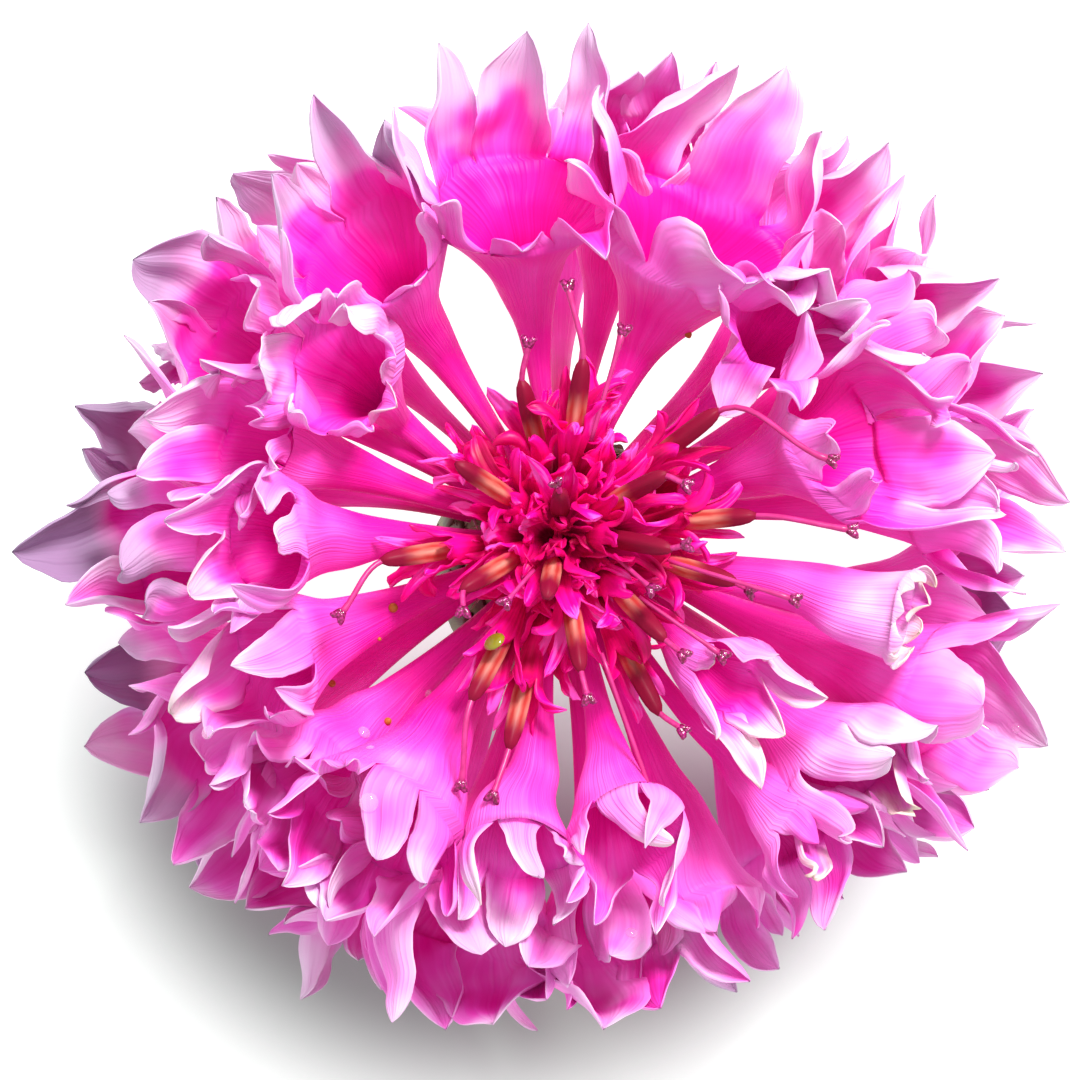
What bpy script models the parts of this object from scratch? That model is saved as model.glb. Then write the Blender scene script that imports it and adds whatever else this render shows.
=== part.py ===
"""A double pink cornflower: one picked flower head, set down face up on its cut end.

The heart (receptacle) stands on the surface inside four rows of bracts. Three whorls of trumpet-shaped ray florets
leave the rim of the heart: the lower ones droop to the surface, the middle ones are about level, and the upper ones
rise. A cluster of narrow disc florets fans out of the middle. Every floret is one closed solid. The soft limbs are
plain here and a little drawn in, so that neighbours stay clear of each other.
"""

import math
from collections import namedtuple

import bmesh
import bpy
from mathutils import Vector

MM = 0.001  # every size below is in millimetres, and this turns it into metres
GAP = 0.3  # clearance between neighbouring solids
SHARP_ANGLE = 50  # edges that turn by more degrees than this stay crisp

# ---- The heart and its bracts -------------------------------------------------------------------------------------

# Radius of the heart at each height, from the cut end to the domed top that the florets stand on.
HEART_PROFILE = [
    (0.0, 1.6), (1.0, 2.6), (2.5, 3.45), (4.5, 3.85), (6.5, 3.9), (9.0, 3.75), (11.2, 3.75),
    (11.7, 3.5), (12.25, 2.9), (12.7, 2.25), (12.95, 1.65),
]
DOME_TOP = 13.05
HEART_SIDES = 20

# The heart leans a little: below LEAN_FROM it slides off the axis by LEAN millimetres for each millimetre down.
LEAN_FROM = 11.0
LEAN = (0.12, 0.08)

BRACTS_PER_ROW = 10
BRACT_THICKNESS = 0.4
BRACT_NOTCH = 1.0  # how much lower the edge is between two bracts than at their tips
BRACT_FLARE = 0.75  # how far a row stands out at its tips, to clear the foot of the row above
BRACT_BEND = (0.3, 0.68)  # shares of a row's height between which it bends outwards
BRACT_ROWS = [(0.0, 3.8), (2.6, 6.4), (5.2, 9.0), (7.8, 11.2)]  # foot and tip heights, lowest row first

# ---- Ray florets --------------------------------------------------------------------------------------------------

Whorl = namedtuple("Whorl", "name seat_radius start_rise tube_radius")
LOWER = Whorl("lower", 3.45, 8, 0.26)
MIDDLE = Whorl("middle", 2.85, 28, 0.24)
UPPER = Whorl("upper", 2.2, 48, 0.22)

THROAT_RADIUS = 0.5
FUNNEL_LENGTH = 5.2  # from the throat, where the tube starts to widen, to the mouth
FUNNEL_MOST = 0.5  # the funnel is at most this share of the floret's reach
FUNNEL_BELLY = 0.4  # half way along it, the funnel has widened by this share
LIMB_SHARE = 0.8  # the solid's limb is this much of the soft limb's width
LOBE_SPREAD = 22  # degrees that the lobes splay beyond the mouth
DISH_SHARE = 0.35  # depth of the dished mouth, as a share of its radius

# seat: azimuth of the floret's foot on the heart. at: azimuth of its mouth. reach: the mouth's distance from the
# axis. height: the mouth's height. face: how far the mouth looks up, in degrees. swing: how far it looks aside.
Ray = namedtuple("Ray", "whorl seat at reach height face swing mouth lobes lobe")
RAYS = [
    Ray(UPPER, 18, 19, 11.2, 17.2, 35, 0, 2.6, 6, 3.4),
    Ray(UPPER, 40, 41, 11.2, 18.4, 60, 0, 2.3, 6, 2.6),
    Ray(UPPER, 68, 65, 12.2, 16.8, 38, -4, 3.1, 6, 4.4),
    Ray(UPPER, 98, 97, 12.4, 17.2, 42, 0, 3.1, 6, 4.6),
    Ray(UPPER, 122, 124, 12.6, 17.0, 40, 2, 2.7, 6, 4.2),
    Ray(UPPER, 145, 143, 9.8, 17.6, 66, 0, 2.5, 6, 2.6),
    Ray(UPPER, 165, 163, 12.2, 16.0, 38, 0, 2.3, 6, 3.4),
    Ray(UPPER, 184, 182, 10.8, 18.2, 56, 0, 2.2, 6, 2.8),
    Ray(UPPER, 206, 204, 12.0, 16.4, 40, 0, 2.3, 6, 3.0),
    Ray(UPPER, 237, 240, 11.8, 17.4, 44, 0, 2.8, 6, 3.6),
    Ray(UPPER, 261, 263, 12.2, 16.8, 32, 0, 2.0, 5, 2.6),
    Ray(UPPER, 284, 283, 11.6, 17.8, 48, 0, 2.0, 5, 2.8),
    Ray(UPPER, 316, 317, 8.4, 17.2, 34, 0, 1.4, 5, 2.6),
    Ray(UPPER, 347, 348, 13.0, 17.0, 14, 0, 1.9, 5, 2.0),
    Ray(MIDDLE, 3, 2, 14.2, 13.6, 12, 0, 2.8, 6, 4.0),
    Ray(MIDDLE, 31, 30, 14.8, 13.2, 14, 0, 2.8, 6, 4.0),
    Ray(MIDDLE, 82, 80, 14.6, 13.4, 24, 0, 2.8, 6, 4.0),
    Ray(MIDDLE, 152, 150, 14.6, 12.8, 18, 0, 2.7, 6, 4.2),
    Ray(MIDDLE, 181, 182, 15.2, 12.6, 16, 0, 2.8, 6, 4.8),
    Ray(MIDDLE, 213, 212, 15.2, 11.4, 8, 0, 2.6, 6, 4.0),
    Ray(MIDDLE, 229, 225, 13.4, 14.2, 22, 0, 2.2, 6, 3.6),
    Ray(MIDDLE, 256, 256, 15.4, 12.6, 20, 0, 2.6, 6, 3.8),
    Ray(MIDDLE, 276, 278, 15.2, 12.4, 20, 0, 2.4, 6, 3.4),
    Ray(MIDDLE, 292, 295, 15.6, 10.8, -4, 0, 2.2, 5, 3.0),
    Ray(MIDDLE, 306, 304, 14.6, 14.6, 10, 0, 2.0, 5, 2.8),
    Ray(MIDDLE, 321, 320, 14.2, 14.6, 24, 0, 2.4, 6, 3.2),
    Ray(MIDDLE, 337, 336, 15.6, 12.6, 10, 0, 2.6, 6, 4.0),
    Ray(LOWER, 16, 16, 15.2, 6.6, -12, 0, 2.8, 6, 4.0),
    Ray(LOWER, 49, 48, 15.2, 8.2, -4, 0, 2.8, 6, 4.2),
    Ray(LOWER, 90, 90, 15.4, 4.2, -16, 0, 2.8, 6, 4.0),
    Ray(LOWER, 134, 134, 15.0, 8.0, -4, 0, 2.8, 6, 4.0),
    Ray(LOWER, 166, 166, 15.2, 6.6, -12, 0, 2.8, 6, 4.2),
    Ray(LOWER, 203, 203, 15.4, 4.6, -14, 0, 2.8, 6, 4.2),
    Ray(LOWER, 228, 228, 15.4, 6.6, -12, 0, 2.7, 6, 4.0),
    Ray(LOWER, 246, 247, 15.8, 4.4, -18, 0, 2.7, 6, 4.2),
    Ray(LOWER, 311, 308, 14.6, 6.2, -12, 0, 2.5, 6, 3.8),
    Ray(LOWER, 328, 329, 15.6, 4.2, -16, 0, 2.6, 6, 4.0),
    Ray(LOWER, 350, 351, 15.0, 7.6, -6, 0, 2.6, 6, 4.0),
]
TUBE_STATIONS = 5

# ---- Disc florets -------------------------------------------------------------------------------------------------

# ring: distance of the foot from the axis. seat: azimuth of the foot. at, reach, height: place of the anther tube's
# end. rise: how steeply the anther tube points up there.
Disc = namedtuple("Disc", "ring seat at reach height rise")
DISCS = [
    Disc(0.0, 90, 90, 1.1, 20.6, 80),
    Disc(0.8, 30, 25, 4.4, 19.8, 42),
    Disc(0.8, 330, 346, 4.3, 20.4, 42),
    Disc(0.8, 270, 260, 2.9, 20.6, 62),
    Disc(0.8, 210, 214, 4.5, 19.4, 40),
    Disc(0.8, 150, 150, 4.5, 19.6, 42),
    Disc(0.8, 90, 82, 6.3, 19.2, 32),
    Disc(1.6, 107, 105, 5.7, 18.4, 34),
    Disc(1.6, 48, 36, 7.4, 18.6, 24),
    Disc(1.6, 6, 3, 7.4, 18.2, 24),
    Disc(1.6, 340, 342, 7.0, 18.4, 26),
    Disc(1.6, 313, 312, 5.9, 19.2, 34),
    Disc(1.6, 295, 298, 8.0, 17.2, 18),
    Disc(1.6, 276, 278, 5.6, 18.8, 34),
    Disc(1.6, 258, 257, 8.6, 17.2, 20),
    Disc(1.6, 234, 243, 7.4, 18.2, 26),
    Disc(1.6, 190, 191, 6.9, 18.2, 26),
]
DISC_START_RISE = 80  # a disc floret leaves the heart almost straight up, in degrees
DISC_TUBE = [(0.0, 0.2), (0.5, 0.24), (0.8, 0.3), (1.0, 0.42)]  # share of the corolla tube's length, radius
ANTHER_LENGTH = 4.4
ANTHER_TUBE = [(0.12, 0.36), (0.8, 0.36), (1.0, 0.16)]  # share of the anther tube's length, radius
DISC_SIDES = 6

# ---- Finishes -----------------------------------------------------------------------------------------------------

Finish = namedtuple("Finish", "colour roughness")
HEART_GREEN = Finish((0.36, 0.42, 0.16), 0.7)
BRACT_GREEN = Finish((0.10, 0.17, 0.05), 0.6)
PETAL_PINK = Finish((0.83, 0.10, 0.55), 0.55)
DISC_CRIMSON = Finish((0.62, 0.02, 0.22), 0.5)


def material(name, finish):
    """A Principled BSDF with this finish's colour and roughness."""
    made = bpy.data.materials.new(name)
    made.use_nodes = True
    shader = made.node_tree.nodes["Principled BSDF"]
    shader.inputs["Base Color"].default_value = (*finish.colour, 1.0)
    shader.inputs["Roughness"].default_value = finish.roughness
    shader.inputs["Metallic"].default_value = 0.0
    return made


def solid(name, points, faces, finish):
    """Makes one named object from points in millimetres and its faces, turned to face outwards."""
    mesh = bpy.data.meshes.new(name)
    mesh.from_pydata([[c * MM for c in p] for p in points], [], faces)
    shell = bmesh.new()
    shell.from_mesh(mesh)
    bmesh.ops.recalc_face_normals(shell, faces=shell.faces)
    bmesh.ops.triangulate(shell, faces=shell.faces)
    shell.to_mesh(mesh)
    shell.free()
    mesh.shade_smooth()
    mesh.set_sharp_from_angle(angle=math.radians(SHARP_ANGLE))
    mesh.materials.append(material(name, finish))
    made = bpy.data.objects.new(name, mesh)
    bpy.context.scene.collection.objects.link(made)
    return made


def bridge(first, second, count):
    """Faces between two rings of count points, given by the number of each ring's first point."""
    return [
        (first + k, first + (k + 1) % count, second + (k + 1) % count, second + k) for k in range(count)
    ]


def heading(azimuth, rise=0.0):
    """Unit vector at an azimuth and a rise above level, both in degrees."""
    a, e = math.radians(azimuth), math.radians(rise)
    return Vector((math.cos(a) * math.cos(e), math.sin(a) * math.cos(e), math.sin(e)))


def polar(azimuth, distance, height):
    """The point at an azimuth, a distance from the axis and a height."""
    return heading(azimuth) * distance + Vector((0, 0, height))


def across(tangent, towards):
    """Unit vector square to the tangent, as near as can be to towards."""
    return (towards - tangent * towards.dot(tangent)).normalized()


def lean(point):
    """Slides a point of the heart off the axis by its lean."""
    drop = min(point[2], LEAN_FROM) - LEAN_FROM
    return (point[0] + LEAN[0] * drop, point[1] + LEAN[1] * drop, point[2])


def heart_radius(height):
    """Radius of the heart's side at a height."""
    for (low, r_low), (high, r_high) in zip(HEART_PROFILE, HEART_PROFILE[1:]):
        if height <= high:
            return r_low + (r_high - r_low) * (height - low) / (high - low)
    return HEART_PROFILE[-1][1]


def dome_height(radius):
    """Height of the domed top at a distance from the axis."""
    dome = [(r, z) for z, r in HEART_PROFILE if z >= LEAN_FROM][::-1]
    if radius <= dome[0][0]:
        return DOME_TOP + (dome[0][1] - DOME_TOP) * radius / dome[0][0]
    for (near, z_near), (far, z_far) in zip(dome, dome[1:]):
        if radius <= far:
            return z_near + (z_far - z_near) * (radius - near) / (far - near)
    return dome[-1][1]


def make_heart():
    """The receptacle: a turned body with a flat cut end and a domed top."""
    points, faces = [], []
    for height, radius in HEART_PROFILE:
        for k in range(HEART_SIDES):
            points.append(lean(polar(360 * k / HEART_SIDES, radius, height)))
    for ring in range(len(HEART_PROFILE) - 1):
        faces += bridge(ring * HEART_SIDES, (ring + 1) * HEART_SIDES, HEART_SIDES)
    faces.append(tuple(range(HEART_SIDES)))
    top = len(points)
    points.append((0, 0, DOME_TOP))
    last = top - HEART_SIDES
    faces += [(last + k, last + (k + 1) % HEART_SIDES, top) for k in range(HEART_SIDES)]
    return solid("receptacle", points, faces, HEART_GREEN)


def bract_offset(share, flare):
    """How far a row's inner face stands off the heart, at a share of the row's height."""
    low, high = BRACT_BEND
    ramp = min(max((share - low) / (high - low), 0.0), 1.0)
    return GAP + flare * ramp * ramp * (3 - 2 * ramp)


def make_bract_row(number, foot, tip):
    """One row of bracts: a ring round the heart whose upper edge is cut into pointed tips."""
    columns = 2 * BRACTS_PER_ROW
    flare = BRACT_FLARE if number < len(BRACT_ROWS) else 0.0
    shares = (0.0, *BRACT_BEND, 1.0)
    points, faces = [], []
    for skin in (0.0, BRACT_THICKNESS):
        for share in shares:
            for k in range(columns):
                edge = tip if (k + number) % 2 else tip - BRACT_NOTCH
                height = foot + (edge - foot) * share
                stand_off = bract_offset((height - foot) / (tip - foot), flare) + skin
                radius = heart_radius(height) + stand_off
                points.append(lean(polar(360 * k / columns, radius, height)))
    rings = len(shares)
    for ring in range(rings - 1):
        faces += bridge(ring * columns, (ring + 1) * columns, columns)
        faces += bridge((rings + ring) * columns, (rings + ring + 1) * columns, columns)
    faces += bridge(0, rings * columns, columns)
    faces += bridge((rings - 1) * columns, (2 * rings - 1) * columns, columns)
    return solid(f"bract_row_{number}", points, faces, BRACT_GREEN)


def curve_point(start, start_pull, end, end_pull, t):
    """Point and tangent at t on the smooth curve that leaves start along start_pull and meets end along end_pull."""
    t2, t3 = t * t, t * t * t
    point = (
        start * (2 * t3 - 3 * t2 + 1)
        + start_pull * (t3 - 2 * t2 + t)
        + end * (3 * t2 - 2 * t3)
        + end_pull * (t3 - t2)
    )
    tangent = (
        start * (6 * t2 - 6 * t)
        + start_pull * (3 * t2 - 4 * t + 1)
        + end * (6 * t - 6 * t2)
        + end_pull * (3 * t2 - 2 * t)
    )
    return point, tangent.normalized()


def ring_points(centre, tangent, towards, radius, sides):
    """A ring of points round the tangent. The first one is on the side that looks towards."""
    first = across(tangent, towards)
    second = tangent.cross(first)
    ring = []
    for k in range(sides):
        turn = 2 * math.pi * k / sides
        ring.append(centre + (first * math.cos(turn) + second * math.sin(turn)) * radius)
    return ring


def make_ray(number, ray):
    """One ray floret: a thin tube that bends to its heading, then a funnel with pointed lobes and a dished mouth."""
    up = Vector((0, 0, 1))
    sides = 2 * ray.lobes
    facing = heading(ray.at + ray.swing, ray.face)
    mouth = polar(ray.at, ray.reach, ray.height)
    funnel = min(FUNNEL_LENGTH, FUNNEL_MOST * ray.reach)
    throat = mouth - facing * funnel
    start = heading(ray.seat, ray.whorl.start_rise)
    lift = GAP + ray.whorl.tube_radius * math.cos(math.radians(ray.whorl.start_rise))
    foot = polar(ray.seat, ray.whorl.seat_radius, dome_height(ray.whorl.seat_radius) + lift)
    pull = (throat - foot).length
    points = []
    for i in range(TUBE_STATIONS + 1):
        t = i / TUBE_STATIONS
        centre, tangent = curve_point(foot, start * pull, throat, facing * pull, t)
        radius = ray.whorl.tube_radius + (THROAT_RADIUS - ray.whorl.tube_radius) * t * t
        points += ring_points(centre, tangent, up, radius, sides)
    limb = ray.mouth * LIMB_SHARE
    half_way = THROAT_RADIUS + (limb - THROAT_RADIUS) * FUNNEL_BELLY
    points += ring_points(throat + facing * funnel / 2, facing, up, half_way, sides)
    spread = math.radians(LOBE_SPREAD)
    sinus = ring_points(mouth, facing, up, limb, sides)
    tips = ring_points(
        mouth + facing * ray.lobe * math.cos(spread), facing, up, limb + ray.lobe * math.sin(spread), sides
    )
    points += [tips[k] if k % 2 else sinus[k] for k in range(sides)]
    faces = [tuple(range(sides))]
    rings = len(points) // sides
    for ring in range(rings - 1):
        faces += bridge(ring * sides, (ring + 1) * sides, sides)
    dish = len(points)
    points.append(mouth - facing * limb * DISH_SHARE)
    rim = (rings - 1) * sides
    faces += [(rim + k, rim + (k + 1) % sides, dish) for k in range(sides)]
    return solid(f"{ray.whorl.name}_floret_{number:02d}", points, faces, PETAL_PINK)


def make_disc(number, disc):
    """One disc floret: a thread-like foot, the swelling of its corolla, and the anther tube with its pointed end."""
    foot = polar(disc.seat, disc.ring, dome_height(disc.ring) + GAP)
    facing = heading(disc.at, disc.rise)
    end = polar(disc.at, disc.reach, disc.height)
    collar = end - facing * ANTHER_LENGTH
    start = heading(disc.seat, DISC_START_RISE)
    pull = (collar - foot).length
    inward = -heading(disc.at)
    points = []
    for t, radius in DISC_TUBE:
        centre, tangent = curve_point(foot, start * pull, collar, facing * pull, t)
        points += ring_points(centre, tangent, inward, radius, DISC_SIDES)
    for along, radius in ANTHER_TUBE:
        points += ring_points(collar + facing * ANTHER_LENGTH * along, facing, inward, radius, DISC_SIDES)
    rings = len(points) // DISC_SIDES
    faces = [tuple(range(DISC_SIDES)), tuple(range((rings - 1) * DISC_SIDES, rings * DISC_SIDES))]
    for ring in range(rings - 1):
        faces += bridge(ring * DISC_SIDES, (ring + 1) * DISC_SIDES, DISC_SIDES)
    return solid(f"disc_floret_{number:02d}", points, faces, DISC_CRIMSON)


def centre_on_origin(pieces):
    """Slides the whole head so that the middle of its footprint is at the origin and its lowest point at height 0."""
    corners = [v.co for piece in pieces for v in piece.data.vertices]
    low = [min(c[i] for c in corners) for i in range(3)]
    high = [max(c[i] for c in corners) for i in range(3)]
    slide = Vector(((low[0] + high[0]) / 2, (low[1] + high[1]) / 2, low[2]))
    for piece in pieces:
        for vertex in piece.data.vertices:
            vertex.co -= slide
    print("slid the head by", [round(c / MM, 3) for c in slide], "mm")
    print("size", [round((high[i] - low[i]) / MM, 2) for i in range(3)], "mm")


for old in list(bpy.data.objects):
    bpy.data.objects.remove(old, do_unlink=True)

head = [make_heart()]
for row, (row_foot, row_tip) in enumerate(BRACT_ROWS, start=1):
    head.append(make_bract_row(row, row_foot, row_tip))
for whorl in (LOWER, MIDDLE, UPPER):
    for index, entry in enumerate([r for r in RAYS if r.whorl is whorl], start=1):
        head.append(make_ray(index, entry))
for index, entry in enumerate(DISCS, start=1):
    head.append(make_disc(index, entry))
centre_on_origin(head)
print(len(head), "pieces,", sum(len(piece.data.polygons) for piece in head), "triangles")
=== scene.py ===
# %% [markdown]
# # A double pink cornflower
# This lesson dresses a picked cornflower head. The head stands face up on its cut end. Its plain solids
# are already made and packed; here each one gets its real look: trumpet-shaped petals with long pointed
# lobes, striped anther tubes with forked stigmas, and green bracts with brown fringes. Blender counts in
# metres, but the numbers below are in millimetres, because that is how a flower is measured.

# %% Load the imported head
import math
from collections import namedtuple

import bmesh
import bpy
import numpy as np
from mathutils import Matrix, Vector
from mathutils.bvhtree import BVHTree


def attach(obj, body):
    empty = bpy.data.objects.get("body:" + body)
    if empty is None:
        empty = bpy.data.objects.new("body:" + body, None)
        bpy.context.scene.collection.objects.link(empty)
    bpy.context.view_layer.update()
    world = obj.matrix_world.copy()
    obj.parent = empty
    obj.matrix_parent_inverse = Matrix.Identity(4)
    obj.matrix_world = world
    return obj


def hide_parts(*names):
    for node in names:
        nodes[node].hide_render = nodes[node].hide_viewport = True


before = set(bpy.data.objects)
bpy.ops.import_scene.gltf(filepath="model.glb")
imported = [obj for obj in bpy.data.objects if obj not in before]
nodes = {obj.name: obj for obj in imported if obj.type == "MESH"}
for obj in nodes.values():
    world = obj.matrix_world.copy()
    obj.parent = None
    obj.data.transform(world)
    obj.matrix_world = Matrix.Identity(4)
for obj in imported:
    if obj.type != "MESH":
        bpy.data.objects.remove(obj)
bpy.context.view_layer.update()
print("nodes in the head:", len(nodes))

# %% [markdown]
# ## Where the flower's own axis is
# The head was slid sideways so that its footprint is centred. The florets were laid out round the
# flower's axis, so the axis has to be found again. The heart's highest point sits exactly on it.

# %% The axis
MM = 0.001
UP = np.array([0.0, 0.0, 1.0])
apex = max((v.co.copy() for v in nodes["receptacle"].data.vertices), key=lambda c: c.z)
AXIS = np.array([apex.x, apex.y, 0.0]) / MM
print("axis at", AXIS.round(3), "mm, top of the heart at", round(apex.z / MM, 2), "mm")

# %% [markdown]
# ## Places on a flower
# A flower is round, so a place on it is easiest to give as an azimuth, a distance from the axis and a
# height. The eye doesn't stand quite straight above it, and a lobe that is high up looks shifted. `seen`
# takes that shift into account, so a tip ends up where it was meant to be seen.

# %% Azimuth, distance and height
VIEW_RISE = 86.0  # how steeply the eye looks down, in degrees
VIEW_HEIGHT = 16.0  # the height that it looks at
LEAN_IN = 1 / math.tan(math.radians(VIEW_RISE))


def heading(azimuth, rise=0.0):
    """Unit vector at an azimuth and a rise above level, in degrees."""
    a, e = math.radians(azimuth), math.radians(rise)
    return np.array([math.cos(a) * math.cos(e), math.sin(a) * math.cos(e), math.sin(e)])


def polar(azimuth, distance, height):
    """The point at an azimuth, a distance from the axis and a height."""
    return heading(azimuth) * distance + UP * height


def seen(azimuth, distance, height):
    """The same, but as it looks from the camera, which stands a little in front of straight above."""
    return polar(azimuth, distance, height) + np.array([0.0, (VIEW_HEIGHT - height) * LEAN_IN, 0.0])


def unit(v):
    return v / np.linalg.norm(v, axis=-1, keepdims=True)


def ease(x):
    """Smooth step from 0 to 1."""
    x = np.clip(x, 0.0, 1.0)
    return x * x * (3 - 2 * x)


print("a tip 6 mm lower is seen", round(6 * LEAN_IN, 2), "mm nearer")

# %% [markdown]
# ## The camera
# The head is looked at from straight above, a touch from the front. A wide lens close by would stretch
# the lobes at the edge, so the camera stands ten head-widths away with a long lens.

# %% Camera
VIEW_WIDTH = 40.8  # what the picture takes in at the flower
VIEW_DISTANCE = 420.0
AIM = (-0.76, -0.38)  # the head isn't quite in the middle of the picture
SENSOR = 36.0
scene = bpy.context.scene
scene.view_settings.view_transform = "Standard"
eye = np.array([0.0, -math.cos(math.radians(VIEW_RISE)), math.sin(math.radians(VIEW_RISE))])
target = np.array([AXIS[0] + AIM[0], AXIS[1] + AIM[1], VIEW_HEIGHT])
camera = bpy.data.objects.new("camera", bpy.data.cameras.new("camera"))
camera.location = Vector((target + eye * VIEW_DISTANCE) * MM)
camera.rotation_euler = Vector(eye).to_track_quat("Z", "Y").to_euler()
camera.data.sensor_width = SENSOR
camera.data.lens = SENSOR * VIEW_DISTANCE / VIEW_WIDTH
camera.data.clip_start, camera.data.clip_end = 0.01, 100.0
scene.collection.objects.link(camera)
scene.camera = camera
print("lens", round(camera.data.lens), "mm")

# %% [markdown]
# ## The light
# Petals look soft when light comes from everywhere, so a bright even sky does most of the work, as in a
# light tent. One small square lamp high at the back right adds shape: the lobes' rolled edges catch it,
# and the shadow falls to the front left.

# %% Light
SKY_STRENGTH = 0.67


def area_light(name, azimuth, rise, distance, size, power):
    """A square light that looks at the flower."""
    light = bpy.data.objects.new(name, bpy.data.lights.new(name, "AREA"))
    light.data.size = size * MM
    light.data.energy = power
    direction = heading(azimuth, rise)
    light.location = Vector(direction * distance * MM)
    light.rotation_euler = Vector(direction).to_track_quat("Z", "Y").to_euler()
    scene.collection.objects.link(light)


area_light("key", azimuth=62, rise=54, distance=420, size=120, power=2.5)
world = bpy.data.worlds.new("sky")
world.use_nodes = True
world.node_tree.nodes["Background"].inputs["Color"].default_value = (1.0, 0.99, 1.0, 1.0)
world.node_tree.nodes["Background"].inputs["Strength"].default_value = SKY_STRENGTH
scene.world = world
print("lights:", [o.name for o in scene.objects if o.type == "LIGHT"])

# %% [markdown]
# ## Writing shaders as sums
# Shader nodes are quick to read when they are written as formulas. A small class wraps a node's output,
# and each operator adds the Math node for it. Anything that isn't arithmetic comes from one `node`
# method, which the finishes and later the geometry trees share.

# %% A socket that can be used in sums
class Wire:
    """One output socket that can be used in sums."""

    def __init__(self, shop, socket):
        self.shop, self.socket = shop, socket

    def _sum(self, operation, a, b):
        return self.shop.node("ShaderNodeMath", {"operation": operation}, [a, b])

    def __add__(self, other):
        return self._sum("ADD", self, other)

    __radd__ = __add__

    def __sub__(self, other):
        return self._sum("SUBTRACT", self, other)

    def __rsub__(self, other):
        return self._sum("SUBTRACT", other, self)

    def __mul__(self, other):
        return self._sum("MULTIPLY", self, other)

    __rmul__ = __mul__

    def __truediv__(self, other):
        return self._sum("DIVIDE", self, other)

    def __pow__(self, other):
        return self._sum("POWER", self, other)


class NodeWriter:
    """Anything that has a tree and writes nodes into it."""

    def node(self, kind, settings=None, values=None, output=0):
        """Any node: its type, its settings, then the values or wires of its inputs by name or number."""
        made = self.tree.nodes.new(kind)
        for setting, value in (settings or {}).items():
            setattr(made, setting, value)
        pairs = values.items() if isinstance(values, dict) else enumerate(values or [])
        for socket, value in pairs:
            if isinstance(value, Wire):
                self.tree.links.new(value.socket, made.inputs[socket])
            else:
                made.inputs[socket].default_value = value
        return Wire(self, made.outputs[output])


print("wires can be added, taken away, multiplied, divided and raised to a power")

# %% [markdown]
# ## A finish
# A finish is a material that writes its own nodes: marks kept on the mesh, smooth steps between two
# values, blends of two colours, and two kinds of noise. One kind follows the piece's own map, as a
# petal's veins do; it is looked up on a ring, so it meets itself where the map ends.

# %% A material made by formulas
class Finish(NodeWriter):
    """A material whose nodes are made by formulas."""

    def __init__(self, name, colour, roughness, **constants):
        self.material = bpy.data.materials.new(name)
        self.material.use_nodes = True
        self.material.cycles.emission_sampling = "NONE"  # a faint glow isn't worth treating as a lamp
        self.material.diffuse_color = (*colour, 1.0)
        self.tree = self.material.node_tree
        self.shader = self.tree.nodes["Principled BSDF"]
        self.shader.inputs["Base Color"].default_value = (*colour, 1.0)
        self.shader.inputs["Roughness"].default_value = roughness
        for socket, value in constants.items():
            self.shader.inputs[socket.replace("_", " ")].default_value = value

    def beside(self, wire, output):
        """Another output of the node that a wire comes from."""
        return Wire(self, wire.socket.node.outputs[output])

    def attribute(self, name):
        """A number kept on the mesh's points."""
        return self.node("ShaderNodeAttribute", {"attribute_name": name}, output="Fac")

    def steps(self, value, low, high):
        """0 below low, 1 above high, smooth between."""
        return self.node(
            "ShaderNodeMapRange",
            {"interpolation_type": "SMOOTHSTEP"},
            {"Value": value, "From Min": low, "From Max": high},
        )

    def blend(self, share, first, second):
        """A colour between two colours or wires."""
        first = (*first, 1.0) if isinstance(first, tuple) else first
        second = (*second, 1.0) if isinstance(second, tuple) else second
        return self.node(
            "ShaderNodeMix", {"data_type": "RGBA"}, {0: share, 6: first, 7: second}, output=2
        )

    def ramp(self, value, *stops):
        """A colour looked up on a row of stops, each a position and its colour."""
        made = self.node("ShaderNodeValToRGB", None, [value])
        elements = made.socket.node.color_ramp.elements
        while len(elements) < len(stops):
            elements.new(0.5)
        for element, (position, colour) in zip(elements, stops):
            element.position, element.color = position, (*colour, 1.0)
        return made

    def along_veins(self, across, down, seed, detail=2.0):
        """Streaky noise that runs along the piece's own UV map and meets itself all the way round."""
        uv = self.node("ShaderNodeTexCoord", output="UV")
        parts = self.node("ShaderNodeSeparateXYZ", None, {0: uv})
        round_it = parts * (2 * math.pi)
        length = self.beside(parts, 1)
        radius = across / (2 * math.pi)
        ring = self.node(
            "ShaderNodeCombineXYZ",
            None,
            [
                self.node("ShaderNodeMath", {"operation": "COSINE"}, [round_it]) * radius,
                self.node("ShaderNodeMath", {"operation": "SINE"}, [round_it]) * radius,
                length * down + seed,
            ],
        )
        return self.node("ShaderNodeTexNoise", None, {"Vector": ring, "Scale": 1.0, "Detail": detail})

    def speckle(self, scale, detail=3.0):
        """Plain noise in the flower's own space."""
        here = self.node("ShaderNodeTexCoord", output="Object")
        return self.node("ShaderNodeTexNoise", None, {"Vector": here, "Scale": scale, "Detail": detail})

    def use(self, socket, wire):
        """Feeds a socket of the surface."""
        self.tree.links.new(wire.socket, self.shader.inputs[socket])

    def glow(self, colour, strength):
        """A faint light of the piece's own, as from light that soaks through it."""
        self.use("Emission Color", colour)
        self.shader.inputs["Emission Strength"].default_value = strength

    def bump(self, height, strength, distance):
        """Fine relief. distance: its depth in millimetres."""
        made = self.node(
            "ShaderNodeBump", None, {"Height": height, "Strength": strength, "Distance": distance * MM}
        )
        self.use("Normal", made)


print("shader helpers ready")

# %% [markdown]
# ## The floor
# The floor is a sheet of pale paper. In so bright a sky it would come out grey, so it glows a little,
# which keeps it white to the edge of the picture. The shade under a flower is soft and wide; it is made
# here too, by letting the glow fade under the lower left of the head.

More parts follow.
